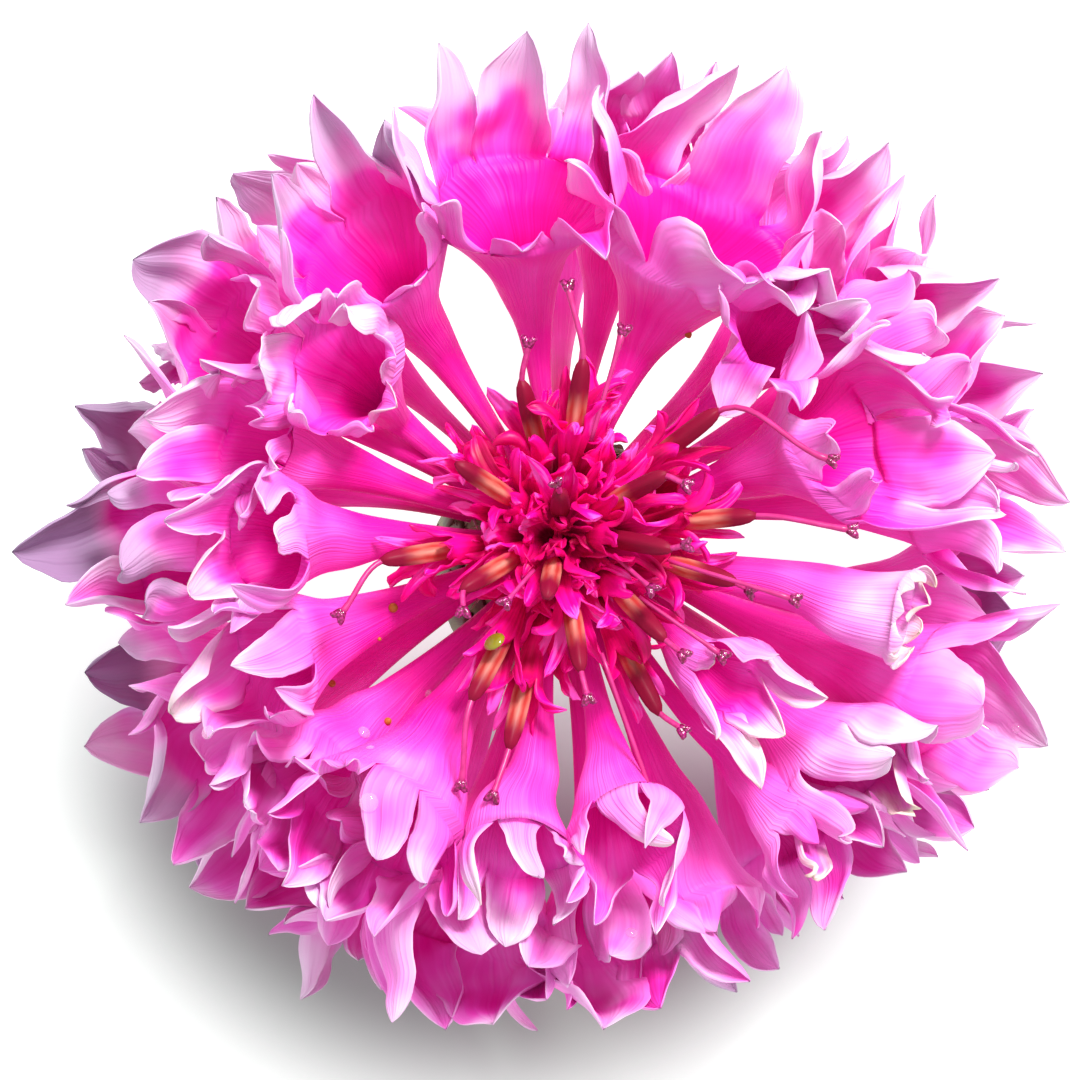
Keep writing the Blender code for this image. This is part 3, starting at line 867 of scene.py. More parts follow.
UPPER_FLORETS = [
    (Ray(18, 19, 11.2, 17.2, 35, 0, 2.6, 3.4), Limb(wide=1.5, throat=0.9, tint=-0.3), {
        0: tip(21, 10.6, 19.8, 0.6, 70), 1: tip(9, 11.8, 19.4, 0.7, 60), 2: tip(2, 17.0, 17.2, 0.9, 20),
        3: tip(10, 16.6, 16.8, 1.1, 40), 4: tip(16, 15.2, 17.4, 1.0, 70), 5: tip(26, 15.2, 18.4, 1.0, 60),
    }),
    (Ray(40, 41, 11.2, 18.4, 60, 0, 2.3, 2.6), Limb(wide=1.1, throat=0.7, near=40, long=1.4), {
        0: tip(36, 7.6, 17.6, 1.1, 70), 2: tip(33, 14.8, 19.0, 0.9, 70), 3: tip(38, 14.6, 19.8, 1.0, 60),
        4: tip(44, 14.2, 20.4, 1.2, 30), 5: tip(50, 12.2, 20.4, 1.0, -60),
    }),
    (Ray(68, 65, 12.2, 16.8, 38, -4, 3.1, 4.4), Limb(lobes=8, wide=1.5, throat=0.8, swell=3.0), {
        0: tip(53, 11.4, 20.4, 1.6, 50, cup=0.3), 1: tip(41, 12.2, 20.0, 1.3, 40, cup=0.3),
        2: tip(50, 14.6, 19.2, 1.0, -20), 3: tip(58, 18.0, 18.0, 1.0, -20),
        4: tip(64.5, 19.4, 17.6, 1.0, 0), 5: tip(70, 18.6, 18.4, 1.0, -30),
        6: tip(83, 16.4, 19.2, 1.0, -20), 7: tip(88.5, 13.9, 20.6, 1.3, 30, cup=0.3),
    }),
    (Ray(98, 97, 12.4, 17.2, 42, 0, 3.1, 4.6), Limb(lobes=8, throat=0.6, swell=3.6), {
        0: tip(97, 10.3, 20.0, 0.8, 10), 1: tip(80, 10.6, 20.6, 1.1, 40), 2: tip(84, 17.0, 20.0, 1.0, 0),
        3: tip(88, 19.3, 18.2, 1.0, 0, tint=0.6), 4: tip(94, 18.9, 17.8, 1.2, 0, tint=0.7),
        5: tip(104, 18.9, 18.0, 1.2, 10, tint=0.8), 6: tip(110, 17.2, 20.0, 0.8, -10),
        7: tip(110.5, 12.9, 21.2, 0.7, 70),
    }),
    (Ray(122, 124, 12.6, 17.0, 40, 2, 2.7, 4.2), Limb(throat=0.7, swell=3.4), {
        0: tip(122, 10.6, 19.8, 0.8, 0), 1: tip(113, 13.0, 20.4, 0.8, 20),
        2: tip(113, 17.0, 19.0, 1.3, 0, tint=0.9), 3: tip(120, 18.8, 18.0, 1.1, 0, tint=0.8),
        4: tip(129, 17.0, 17.6, 1.0, 0, tint=0.9), 5: tip(133, 15.6, 19.8, 0.6, 10, tint=0.5),
        6: tip(134, 12.0, 20.6, 0.7, 20),
    }),
    (Ray(152, 144, 9.8, 17.6, 66, 0, 2.4, 2.6), Limb(throat=0.6, swell=5.0), {
        0: tip(141, 7.6, 18.6, 1.0, 30, age=0.7), 1: tip(132, 9.0, 19.6, 1.1, 60),
        2: tip(134, 11.6, 20.4, 1.0, 50), 3: tip(143, 12.6, 20.6, 0.9, -20),
        4: tip(151, 12.8, 20.2, 1.1, 30), 5: tip(157, 11.2, 19.8, 1.0, 60), 6: tip(152, 8.2, 18.8, 1.0, 40),
    }),
    (Ray(165, 163, 12.2, 16.4, 24, 0, 2.3, 3.4), Limb(throat=0.8, near=10), {
        0: tip(168, 11.0, 19.8, 0.6, 70, cup=0.6), 1: tip(159, 12.0, 19.4, 0.7, 50),
        2: tip(156, 15.2, 16.8, 1.1, 10), 3: tip(165, 16.4, 15.6, 1.2, 20),
        4: tip(172, 16.2, 16.0, 1.1, 20), 5: tip(176, 14.6, 17.6, 1.0, 30),
        6: tip(175.5, 12.2, 19.6, 1.0, -50, cup=-0.5),
    }),
    (Ray(184, 182, 11.2, 18.2, 34, 0, 2.2, 2.8), Limb(throat=1.15, near=30, long=1.4), {
        0: tip(182, 10.4, 20.4, 0.6, 70, cup=0.6), 1: tip(176, 10.8, 20.6, 0.7, 40),
        2: tip(174, 13.4, 19.4, 1.0, 30), 3: tip(179, 15.0, 17.6, 1.2, 30),
        4: tip(190, 13.8, 18.8, 1.3, 50, age=0.5), 5: tip(193, 13.0, 19.6, 1.0, 50),
        6: tip(188.5, 12.2, 20.6, 0.9, -40, cup=-0.5),
    }),
    (Ray(206, 204, 12.0, 16.6, 24, 0, 2.3, 3.0), Limb(throat=1.15, near=40, long=1.4), {
        0: tip(202, 13.4, 19.2, 0.9, -20, cup=-0.6), 1: tip(196, 13.0, 19.6, 0.7, -50, cup=-0.6),
        2: tip(194, 15.0, 17.8, 0.9, 40), 3: tip(205, 16.4, 16.4, 1.3, 50, age=0.5),
        4: tip(211, 15.4, 16.8, 1.0, 30), 5: tip(214, 13.2, 18.4, 0.9, 10),
        6: tip(208, 12.4, 19.6, 0.8, -60, cup=-0.5),
    }),
    (Ray(237, 239, 13.0, 16.6, 24, 0, 2.8, 3.6),
     Limb(tint=-0.4, lobes=8, wide=1.15, throat=1.0, swell=2.2), {
        0: tip(240, 14.2, 19.4, 0.9, 30, cup=-0.3), 1: tip(229, 11.9, 20.2, 0.8, -60, cup=-0.4, age=0.6),
        2: tip(224, 15.2, 18.2, 1.0, 10), 3: tip(232, 17.0, 16.4, 1.2, 30),
        4: tip(239, 17.2, 16.2, 1.3, 20), 5: tip(246, 16.8, 17.0, 1.2, 10),
        6: tip(253, 15.0, 18.0, 1.0, -10), 7: tip(248, 14.0, 19.4, 0.8, 40),
    }),
    (Ray(261, 263, 12.4, 16.8, 18, 0, 2.0, 2.6), Limb(lobes=6, wide=1.1, throat=0.8), {
        0: tip(266, 13.0, 19.4, 0.6, 80, cup=0.8, tint=0.4),
        1: tip(257.5, 14.6, 18.6, 0.7, -20, tint=0.4, age=0.4), 2: tip(255, 15.0, 17.2, 0.9, 20),
        3: tip(262, 15.8, 16.4, 1.1, 30), 4: tip(268.5, 14.8, 18.4, 0.8, -10, tint=0.5),
        5: tip(270, 12.2, 19.6, 0.9, -30),
    }),
    (Ray(284, 282, 11.8, 17.8, 36, 0, 2.0, 2.8), Limb(throat=0.65, near=30, long=1.4, wide=1.2), {
        0: tip(289.5, 12.6, 20.4, 0.7, 20, cup=0.5, age=0.4), 1: tip(273, 12.2, 20.2, 0.7, -60, cup=-0.3),
        2: tip(271, 14.0, 19.2, 1.0, 20), 3: tip(275, 15.0, 18.2, 1.0, 30),
        4: tip(284, 15.8, 18.6, 0.6, -50), 5: tip(286, 14.8, 18.6, 0.9, 20),
        6: tip(285.5, 12.4, 20.4, 0.7, -60, cup=-0.5),
    }),
    (Ray(316, 317, 8.4, 17.2, 34, 0, 1.4, 2.6), Limb(lobes=6, throat=0.6, wild=1.6, age=0.8), {
        0: tip(318, 7.4, 18.6, 0.8, 0, age=0.6), 1: tip(305, 9.6, 18.0, 0.8, 20, age=1.0),
        2: tip(308, 12.3, 17.2, 1.5, 20, age=0.7), 3: tip(318, 11.2, 17.6, 1.5, 10, age=0.7),
        4: tip(328, 12.0, 18.0, 1.4, 30, age=0.5), 5: tip(330, 9.4, 18.6, 0.9, 0, age=0.3),
    }),
    (Ray(339, 346, 13.2, 17.0, 12, 0, 1.75, 2.0),
     Limb(lobes=9, wide=1.0, throat=0.9, swell=1.6, curl=-100, near=-100, lip=0.0, long=0.5, age=1.1,
          wild=0.5, cup=0.6, hem=20, narrow=1.15), {}),
]
MIDDLE_FLORETS = [
    (Ray(14, 7.5, 14.3, 13.6, 12, 0, 2.6, 4.0), Limb(wide=1.25, throat=0.55, swell=5.0), {
        0: tip(2, 16.6, 17.4, 1.3, 50), 1: tip(354, 16.8, 16.0, 1.2, 40), 2: tip(352, 18.2, 14.2, 1.1, 10),
        3: tip(358, 19.0, 13.0, 1.1, 0), 4: tip(4, 19.4, 13.2, 1.2, 20), 5: tip(9, 18.4, 14.6, 1.0, 10),
        6: tip(9, 17.2, 16.4, 0.9, 40),
    }),
    (Ray(31, 30, 14.8, 13.2, 14, 0, 2.8, 4.0), Limb(wide=1.3, throat=0.9), {
        0: tip(29, 16.0, 17.0, 1.1, 50), 1: tip(22, 16.8, 16.0, 1.0, 40), 3: tip(25, 19.0, 13.2, 1.1, 0),
        4: tip(30, 19.3, 13.4, 1.4, 10, tint=0.3), 6: tip(37, 16.2, 16.0, 1.0, 30),
    }),
    (Ray(82, 80, 14.6, 13.4, 24, 0, 2.8, 4.0), Limb(), {
        0: tip(82, 14.6, 17.4, 1.0, 20), 2: tip(72, 18.6, 14.8, 1.0, 0, tint=0.4),
        3: tip(77, 19.0, 14.2, 1.1, 10), 4: tip(80.5, 17.6, 15.8, 1.1, 10),
        5: tip(86, 18.4, 14.6, 1.1, 10, tint=0.7),
    }),
    (Ray(152, 150, 14.6, 12.8, 18, 0, 2.7, 4.2), Limb(throat=0.7, tint=0.5), {
        0: tip(149, 12.6, 17.2, 1.2, 90), 1: tip(141, 14.8, 16.6, 1.2, 40),
        2: tip(140, 17.4, 14.8, 1.1, 20, tint=0.8), 3: tip(147, 19.1, 12.8, 1.8, 10, tint=1.0),
        4: tip(151, 17.8, 13.0, 1.0, 0, tint=0.8), 5: tip(154.8, 18.2, 14.0, 0.6, -10, tint=0.4),
        6: tip(156, 14.0, 16.4, 0.9, 30),
    }),
    (Ray(181, 182, 15.2, 12.6, 16, 0, 2.8, 4.8), Limb(tint=1.0, throat=0.7), {
        0: tip(184, 16.6, 16.2, 0.9, 30), 1: tip(176, 17.2, 15.0, 1.0, 10),
        2: tip(177, 18.8, 13.4, 0.6, 0, tint=1.0), 3: tip(182.4, 21.0, 12.6, 1.5, 0, tint=1.4),
        4: tip(188.5, 19.0, 12.8, 1.1, 10, tint=0.6), 5: tip(191, 17.4, 13.4, 0.9, 20, tint=0.4),
        6: tip(189, 15.8, 15.8, 1.0, 40),
    }),
    (Ray(213, 212, 15.2, 11.4, 8, 0, 2.6, 4.0), Limb(wide=1.3, throat=1.1), {
        0: tip(213, 16.2, 15.4, 1.0, 30), 2: tip(206, 18.2, 12.0, 1.0, 0),
        3: tip(214.7, 19.7, 10.8, 1.2, 10, tint=0.8), 4: tip(221.5, 19.6, 11.2, 1.3, 20),
    }),
    (Ray(229, 225, 13.4, 14.2, 22, 0, 2.2, 3.6), Limb(wide=1.5, throat=1.0, tint=-0.3), {
        0: tip(222, 13.2, 18.0, 1.0, 40), 1: tip(214, 13.8, 17.4, 1.0, 40),
        2: tip(217, 16.4, 15.8, 1.0, 30), 3: tip(222.5, 15.8, 16.6, 1.3, 60),
        4: tip(231, 16.6, 15.8, 1.2, 40), 5: tip(238.8, 16.9, 16.2, 1.5, 30),
        6: tip(234, 14.0, 17.2, 1.0, 30),
    }),
    (Ray(256, 256, 15.4, 12.6, 20, 0, 2.6, 3.8), Limb(wide=1.4, throat=0.9, tint=-0.4), {
        0: tip(259, 16.2, 16.6, 1.2, 0), 1: tip(251.3, 19.8, 14.8, 1.1, -10),
        2: tip(249, 18.8, 13.0, 1.2, 0), 3: tip(256, 19.3, 12.4, 1.3, 0), 4: tip(262, 19.0, 13.8, 1.7, -10),
        5: tip(268, 17.9, 14.6, 1.6, -10), 6: tip(265, 16.4, 16.6, 1.2, -20),
    }),
    (Ray(276, 278, 15.2, 12.4, 20, 0, 2.4, 3.4), Limb(wide=1.3, throat=0.8, tint=-0.7), {
        0: tip(277, 16.4, 16.6, 1.2, 20), 1: tip(271, 17.4, 15.6, 1.0, 10),
        2: tip(271, 18.2, 13.8, 1.2, 10), 3: tip(275.5, 19.1, 14.2, 2.1, 10),
        4: tip(282, 18.6, 13.4, 1.4, 10),
    }),
    (Ray(290, 291.5, 15.6, 10.8, -4, -2, 2.0, 3.0), Limb(tint=-0.8, throat=0.5, swell=2.6, long=0.9), {
        3: tip(291, 18.9, 9.6, 0.9, 0, tint=0.9), 4: tip(297, 18.9, 9.8, 1.0, 10),
    }),
    (Ray(304, 309.5, 14.8, 14.6, 10, 6, 1.8, 2.8), Limb(tint=-0.8, lobes=6, throat=0.4, swell=5.0), {
        3: tip(303, 18.4, 13.6, 1.1, 0), 2: tip(299, 17.8, 14.0, 1.0, 10),
    }),
    (Ray(322, 320, 14.2, 14.6, 24, 0, 2.4, 3.2), Limb(wide=1.3, throat=0.7), {
        0: tip(326, 15.0, 18.0, 1.0, 30), 1: tip(312, 15.6, 17.4, 0.9, 70),
        2: tip(305.5, 15.9, 17.0, 0.9, 120, age=1.0), 3: tip(315, 17.0, 15.4, 1.0, 20),
        4: tip(322, 16.9, 16.6, 0.9, 90, age=1.0), 5: tip(327, 16.8, 16.0, 1.0, 30),
        6: tip(332.5, 16.0, 17.4, 1.3, 10),
    }),
    (Ray(337, 336, 15.6, 12.6, 10, 0, 2.6, 4.0), Limb(wide=1.3, tint=-0.3, throat=0.9, swell=2.4), {
        0: tip(337, 17.2, 16.2, 1.3, 20), 3: tip(331.8, 19.8, 12.2, 1.0, 0),
        4: tip(335.4, 20.2, 12.4, 1.3, 0, tint=0.5),
    }),
]
LOWER_FLORETS = [
    (Ray(16, 16, 15.2, 6.6, -12, 0, 2.8, 4.0), Limb(wide=1.4), {
        2: tip(10.6, 19.0, 7.0, 1.0, 0), 3: tip(14.6, 19.2, 6.6, 1.0, 10), 4: tip(18.2, 19.6, 7.2, 1.1, 0),
        5: tip(23.5, 20.0, 9.2, 1.3, 0, tint=0.6),
    }),
    (Ray(49, 48, 15.2, 8.2, -4, 0, 2.8, 4.2), Limb(wide=1.4), {
        0: tip(47, 15.8, 13.6, 1.0, 20), 1: tip(37, 17.4, 12.0, 1.0, 10),
        2: tip(41.7, 19.2, 9.2, 1.2, 0, tint=0.4), 3: tip(46.5, 18.8, 8.4, 0.9, 0),
        4: tip(49.9, 19.5, 8.8, 1.1, 0, tint=0.4), 5: tip(53.9, 18.8, 9.0, 1.2, 0),
        6: tip(56, 16.6, 12.0, 0.9, 10),
    }),
    (Ray(90, 90, 15.4, 4.2, -16, 0, 2.8, 4.0), Limb(wide=1.4), {
        3: tip(86, 18.4, 4.6, 1.2, 0, tint=0.8), 4: tip(97, 18.4, 4.2, 1.0, 0),
    }),
    (Ray(134, 134, 15.0, 8.0, -4, 0, 2.8, 4.0), Limb(wide=1.4, tint=0.4, teeth=0.2), {
        1: tip(126, 17.2, 12.0, 1.0, 10), 2: tip(128, 18.2, 9.4, 1.0, 0, tint=0.5),
        3: tip(132, 18.6, 8.2, 1.1, 0, tint=0.9), 4: tip(135.4, 18.5, 8.4, 1.0, 0, tint=0.7),
        5: tip(140, 17.6, 9.2, 1.2, 10, tint=0.4),
    }),
    (Ray(166, 166, 15.2, 6.6, -12, 0, 2.8, 4.2), Limb(wide=1.4, teeth=0.3, tint=0.7), {
        2: tip(161, 17.4, 7.6, 1.1, 0, tint=0.6), 3: tip(165.3, 19.4, 6.6, 1.3, 0, tint=1.0),
        4: tip(171, 18.6, 6.8, 1.2, 0, tint=1.0),
    }),
    (Ray(203, 203, 15.4, 4.6, -14, 0, 2.8, 4.2), Limb(wide=1.4, tint=0.8), {
        3: tip(197.7, 19.3, 4.4, 1.2, 0, tint=1.3), 4: tip(204.6, 19.9, 4.0, 1.5, 0, tint=0.3),
    }),
    (Ray(228, 228, 15.4, 6.6, -12, 0, 2.7, 4.0), Limb(wide=1.4), {
        2: tip(218, 18.6, 7.0, 1.0, 0, tint=0.8), 3: tip(224.6, 19.9, 5.6, 1.5, 0),
        4: tip(230, 18.8, 6.0, 1.0, 10), 5: tip(235.3, 18.4, 7.0, 1.0, 0),
    }),
    (Ray(246, 247, 15.8, 4.4, -18, 0, 2.7, 4.2), Limb(wide=1.4), {
        2: tip(241.7, 21.0, 3.6, 1.2, 0, tint=0.5), 3: tip(246, 18.6, 3.2, 1.2, 0),
        4: tip(251, 18.4, 3.4, 1.2, 0),
    }),
    (Ray(318, 309, 14.8, 6.2, -12, -4, 2.5, 3.8), Limb(wide=1.4, tint=-0.4), {
        2: tip(301, 18.0, 6.8, 1.0, 0), 3: tip(308, 18.2, 5.6, 1.0, 0), 4: tip(314.6, 18.9, 6.4, 1.1, 0),
    }),
    (Ray(328, 329, 15.6, 4.2, -16, 0, 2.6, 4.0), Limb(wide=1.4), {
        2: tip(320, 19.2, 4.6, 1.1, 0), 3: tip(324.3, 19.9, 3.6, 1.2, 0), 4: tip(328.3, 19.4, 3.8, 1.2, 0),
        5: tip(334, 18.6, 4.8, 1.0, 0),
    }),
    (Ray(342, 350, 15.0, 7.6, -6, 4, 2.6, 4.0), Limb(wide=1.4), {
        3: tip(348.6, 18.2, 8.4, 1.9, 0, tint=1.0), 4: tip(354, 18.2, 7.6, 1.0, 0, tint=0.5),
    }),
]
print("ray florets:", len(UPPER_FLORETS), len(MIDDLE_FLORETS), len(LOWER_FLORETS))

# %% Growing the ray florets
RAYS = {}
for name, whorl, seed, florets in (
    ("upper_floret", UPPER, 100, UPPER_FLORETS),
    ("middle_floret", MIDDLE, 200, MIDDLE_FLORETS),
    ("lower_floret", LOWER, 300, LOWER_FLORETS),
):
    for number, (ray, limb, lobes) in enumerate(florets, start=1):
        limb = limb._replace(seed=seed + number, shaped=lobes)
        RAYS[f"{name}_{number:02d}"] = (ray._replace(whorl=whorl), limb)

for name, (ray, limb) in RAYS.items():
    sheet, piece = Sheet(), Piece(name + "_petal")
    size = Size(ray.whorl.tube_radius, limb.throat, ray.mouth, ray.lobe, 0.10, 26, 22, 16)
    grow_trumpet(sheet, ray_spine(ray), size, limb)
    crumple(sheet, limb.seed)
    keep_off_the_floor(sheet)
    sheet.into(piece)
    made = piece.make(petal)
    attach(made, "root")
    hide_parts(name)
print("ray florets grown:", len(RAYS))

# %% [markdown]
# ## Disc florets
# In the middle of the head stand the disc florets, which make the pollen. Each has a narrow crimson
# corolla with five strap-like lobes. Out of it comes a tube of five fused anthers, orange-brown with
# paler seams and nearly black at its pointed end, and out of that a thin style with a forked stigma.
# Stalks and tubes are solid, so they are rings of points along a line, closed at both ends.

# %% Solid stalks
def stalk(piece, points, radii, finish, towards=UP, sides=10, ribs=0, rib=0.0, tint=0.0):
    """A closed solid along points, with an even number of sides and so many ribs, raised by rib."""
    spine = Spine(np.asarray(points, float), towards)
    distance = np.linspace(0, spine.length, len(radii))
    centre, _, first, second = spine.frame(distance)
    turn = np.arange(sides) * 2 * math.pi / sides
    swell = 1 + rib * np.cos(ribs * turn)
    rings = (
        centre[:, None]
        + first[:, None] * (np.cos(turn) * swell)[None, :, None] * np.array(radii)[:, None, None]
        + second[:, None] * (np.sin(turn) * swell)[None, :, None] * np.array(radii)[:, None, None]
    )
    rows = len(radii)
    numbers = np.arange(rows * sides).reshape(rows, sides)
    numbers = np.concatenate([numbers, numbers[:, :1]], 1)
    v = np.linspace(0, 1, rows)
    uv = np.stack(np.meshgrid(np.linspace(0, 1, sides + 1), v), -1)
    uvs = face_corners(uv).reshape(-1, 4, 2)
    # each end is closed by four-sided faces that meet in its middle point
    foot, end = rows * sides, rows * sides + 1
    caps = []
    for i in range(0, sides, 2):
        caps.append([foot, numbers[0, i + 2], numbers[0, i + 1], numbers[0, i]])
        caps.append([end, numbers[-1, i], numbers[-1, i + 1], numbers[-1, i + 2]])
    faces = np.concatenate([face_corners(numbers).reshape(-1, 4), np.array(caps)])
    uvs = np.concatenate([uvs, np.zeros((len(caps), 4, 2)) + 0.5])
    marks = np.zeros((rows * sides + 2, len(MARKS)))
    marks[: rows * sides, 0] = np.repeat(v, sides)
    marks[: rows * sides, 1] = np.tile((1 + np.cos(ribs * turn)) / 2, rows)
    marks[rows * sides:, 0] = [0, 1]
    marks[:, 3] = tint
    ends = np.array([centre[0], centre[-1]])
    piece.add(np.concatenate([rings.reshape(-1, 3), ends]), faces, uvs, marks, finish)


print("stalks ready")

# %% [markdown]
# ## Disc floret finishes
# The corolla is dark crimson in the middle of the head and magenta at its tips; the near-black at its foot
# and its darkest patches are partly painted shade down among the florets, and it glows faintly as though
# lit through.
# The anther tube's seams are pale, which the `edge` mark gives; it darkens along its length. Fresh stigmas
# glisten with sticky papillae, so theirs is a shiny, knobbly purple; each knob is painted paler on top and
# darker between, as a highlight and shade on it.

# %% Crimson, anther, stigma
crimson = Finish("disc_crimson", (0.62, 0.01, 0.20), 0.42, Specular_IOR_Level=0.25)
down = crimson.attribute("along")
grain = crimson.speckle(900.0)
streak = crimson.along_veins(26.0, 3.0, 5.2)
patches = crimson.speckle(420.0, 1.0)
# the ramp's near-black at the corolla's foot and the broad dark patches are partly its own crimson, partly
# painted shade among the florets
mottled = down + (grain - 0.5) * 0.4 + (streak - 0.5) * 0.5 + (patches - 0.5) * 1.6 - 0.05
shade = crimson.ramp(
    mottled,
    (0.0, (0.16, 0.001, 0.012)),
    (0.34, (0.40, 0.001, 0.05)),
    (0.60, (0.76, 0.001, 0.16)),
    (0.92, (0.94, 0.002, 0.33)),
    (1.0, (0.96, 0.09, 0.55)),
)
crimson.use("Base Color", shade)
# painted light: a faint glow that stands in for light coming through the corolla
crimson.glow(shade, 0.09)
crimson.bump(streak + grain * 0.5, 0.4, 0.08)

anther = Finish("anther_brown", (0.60, 0.16, 0.07), 0.5, Specular_IOR_Level=0.2)
down = anther.attribute("along")
seam = anther.attribute("edge")
dark = anther.attribute("tint")
streak = anther.along_veins(9.0, 3.0, 1.7)
rust = anther.blend(seam * 0.55 + (streak - 0.5) * 1.1, (0.48, 0.04, 0.035), (0.80, 0.36, 0.28))
rust = anther.blend(anther.steps(down + (streak - 0.5) * 0.25, 0.08, 0.34), (0.82, 0.03, 0.16), rust)
maroon = anther.steps(down + (streak - 0.5) * 0.3 + dark * 0.6, 0.55, 0.84)
rust = anther.blend(maroon, rust, (0.24, 0.002, 0.03))
anther.use("Base Color", rust)
anther.bump(streak, 0.4, 0.06)

style_pink = Finish("style_pink", (0.66, 0.015, 0.22), 0.35)
streak = style_pink.along_veins(4.0, 9.0, 4.4)
style_pink.use("Base Color", style_pink.blend(streak, (0.36, 0.003, 0.09), (0.80, 0.05, 0.32)))
style_pink.bump(streak, 0.3, 0.03)

stigma = Finish("stigma_purple", (0.30, 0.005, 0.12), 0.12, Specular_IOR_Level=0.8)
knobs = stigma.node(
    "ShaderNodeTexVoronoi",
    None,
    {"Vector": stigma.node("ShaderNodeTexCoord", output="Object"), "Scale": 9000.0},
    output="Distance",
)
# painted highlight and shade: knob tops paler, the gaps between them darker
stigma.use("Base Color", stigma.blend(knobs * 1.4, (0.62, 0.02, 0.28), (0.15, 0.001, 0.035)))
stigma.bump(1 - knobs, 0.7, 0.04)
print("disc finishes ready")

# %% [markdown]
# ## Every disc floret
# Seventeen disc florets are open. The end of each anther tube and the tip of each style are listed, and
# the corolla is grown from the foot up to where the tube comes out of it.

# %% The table of disc florets
# ring, seat: where the foot is. at, reach, height: the end of the anther tube. rise: how steeply it
# points up. dark: 0 for a fresh orange tube, 1 for an old maroon one. style: the stigma's place (azimuth,
# distance, height).
Disc = namedtuple("Disc", "ring seat at reach height rise dark style")
DISCS = [
    Disc(0.0, 90, 90, 1.1, 20.6, 80, 0.9, (96, 1.35, 21.3)),
    Disc(0.8, 30, 25, 4.4, 19.8, 42, 0.5, (17, 4.9, 20.0)),
    Disc(0.8, 330, 346, 4.3, 20.4, 42, 1.0, (349, 4.75, 20.7)),
    Disc(0.8, 270, 260, 2.9, 20.6, 62, 0.1, None),
    Disc(0.8, 210, 214, 4.5, 19.4, 40, 0.2, (222, 4.9, 19.8)),
    Disc(0.8, 150, 150, 4.5, 19.6, 42, 0.1, None),
    Disc(0.8, 90, 82, 6.3, 19.2, 32, 0.3, (88, 8.9, 19.6)),
    Disc(1.6, 107, 105, 5.7, 18.4, 34, 0.4, (100, 6.9, 19.0)),
    Disc(1.6, 48, 36, 7.4, 18.6, 24, 0.7, (13, 10.4, 20.2)),
    Disc(1.6, 6, 3, 7.4, 18.2, 24, 0.1, (-1, 10.9, 18.9)),
    Disc(1.6, 340, 342, 7.0, 18.4, 26, 0.3, (341, 7.5, 18.6)),
    Disc(1.6, 313, 312, 5.9, 19.2, 34, 0.4, (313, 6.7, 19.6)),
    Disc(1.6, 295, 298, 8.0, 17.2, 18, 0.5, (301, 8.9, 17.6)),
    Disc(1.6, 276, 278, 5.6, 18.8, 34, 0.2, (279, 6.6, 19.2)),
    Disc(1.6, 258, 257, 8.6, 17.2, 20, 0.0, (256, 10.4, 17.6)),
    Disc(1.6, 234, 243, 7.4, 18.2, 26, 0.0, (249, 10.4, 18.0)),
    Disc(1.6, 190, 191, 6.9, 18.2, 26, 0.1, (202, 8.9, 18.6)),
]
print("disc florets:", len(DISCS), "and", sum(disc.style is not None for disc in DISCS), "styles")

# %% Growing the disc florets
ANTHER_LENGTH = 3.4
# the radius of an anther tube at even steps along it
ANTHER_OUTLINE = [0.23, 0.30, 0.34, 0.355, 0.36, 0.36, 0.36, 0.355, 0.345, 0.32, 0.26, 0.10]
ALMOST_UP = UP + 0.01  # never quite along a line that stands upright
COROLLA = Limb(
    lobes=5, lip=0.1, wide=1.0, swell=3.5, curl=42, near=42, cup=1.3, hem=50, wild=1.8, blunt=0.9
)


def forked_stigma(piece, place, direction, rng):
    """A tuft of sticky knobs with two short arms that bend apart."""
    side = unit(np.cross(direction, ALMOST_UP))
    for sign in (-1, 1):
        arm = [
            place - direction * 0.22,
            place + side * sign * 0.07 + direction * 0.05,
            place + side * sign * 0.2 + direction * 0.22,
            place + side * sign * 0.30 + direction * rng.uniform(0.2, 0.34),
        ]
        stalk(piece, arm, [0.04, 0.15, 0.17, 0.16, 0.13, 0.04], 3, sides=8)


def grow_disc(piece, disc, seed):
    """A disc floret: corolla (finish 0), anther tube (1), style (2) and stigma (3)."""
    rng = np.random.default_rng(seed)
    inward = -heading(disc.at)
    facing = heading(disc.at, disc.rise)
    end = polar(disc.at, disc.reach, disc.height)
    collar = end - facing * ANTHER_LENGTH
    foot = polar(disc.seat, disc.ring, dome_height(disc.ring) + GAP)
    pull = np.linalg.norm(collar - foot)
    tube = smooth_curve(foot, heading(disc.seat, 80) * pull, collar + facing * 0.5, facing * pull, 24)
    sheet = Sheet()
    size = Size(0.2, 0.26, 0.66, 2.0, 0.09, 12, 10, 8)
    grow_trumpet(sheet, Spine(tube, inward), size, COROLLA._replace(seed=seed))
    sheet.into(piece, 0)
    anthers = [collar, collar + facing * ANTHER_LENGTH / 2, end]
    stalk(piece, anthers, ANTHER_OUTLINE, 1, inward, sides=20, ribs=5, rib=0.07, tint=disc.dark)
    if disc.style:
        place = polar(*disc.style)
        gap = np.linalg.norm(place - end)
        root = end - facing * 0.3
        arriving = unit(place - end + facing * gap * 0.4 - UP * gap * 0.25)
        line = smooth_curve(root, facing * gap * 1.2, place, arriving * gap, 14)
        stalk(piece, line, [0.11] * 10 + [0.13, 0.15], 2, ALMOST_UP, sides=8)
        forked_stigma(piece, place, unit(line[-1] - line[-3]), rng)


for number, disc in enumerate(DISCS, start=1):
    piece = Piece(f"disc_floret_{number:02d}_flower")
    grow_disc(piece, disc, 400 + number)
    made = piece.make(crimson, anther, style_pink, stigma)
    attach(made, "root")
    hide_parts(f"disc_floret_{number:02d}")
print("disc florets grown:", number)

# %% [markdown]
# ## Young disc florets
# Between the open disc florets the middle is crowded with young ones whose anthers haven't come out yet.
# Only their crimson lobes show, pointing all ways. A few single styles reach out between them, from
# florets that are hidden underneath. All of these are too small to be solids, so they are one piece that
# is added to the head.

# %% Young corollas
young = Piece("young_disc_florets")
rng = np.random.default_rng(77)
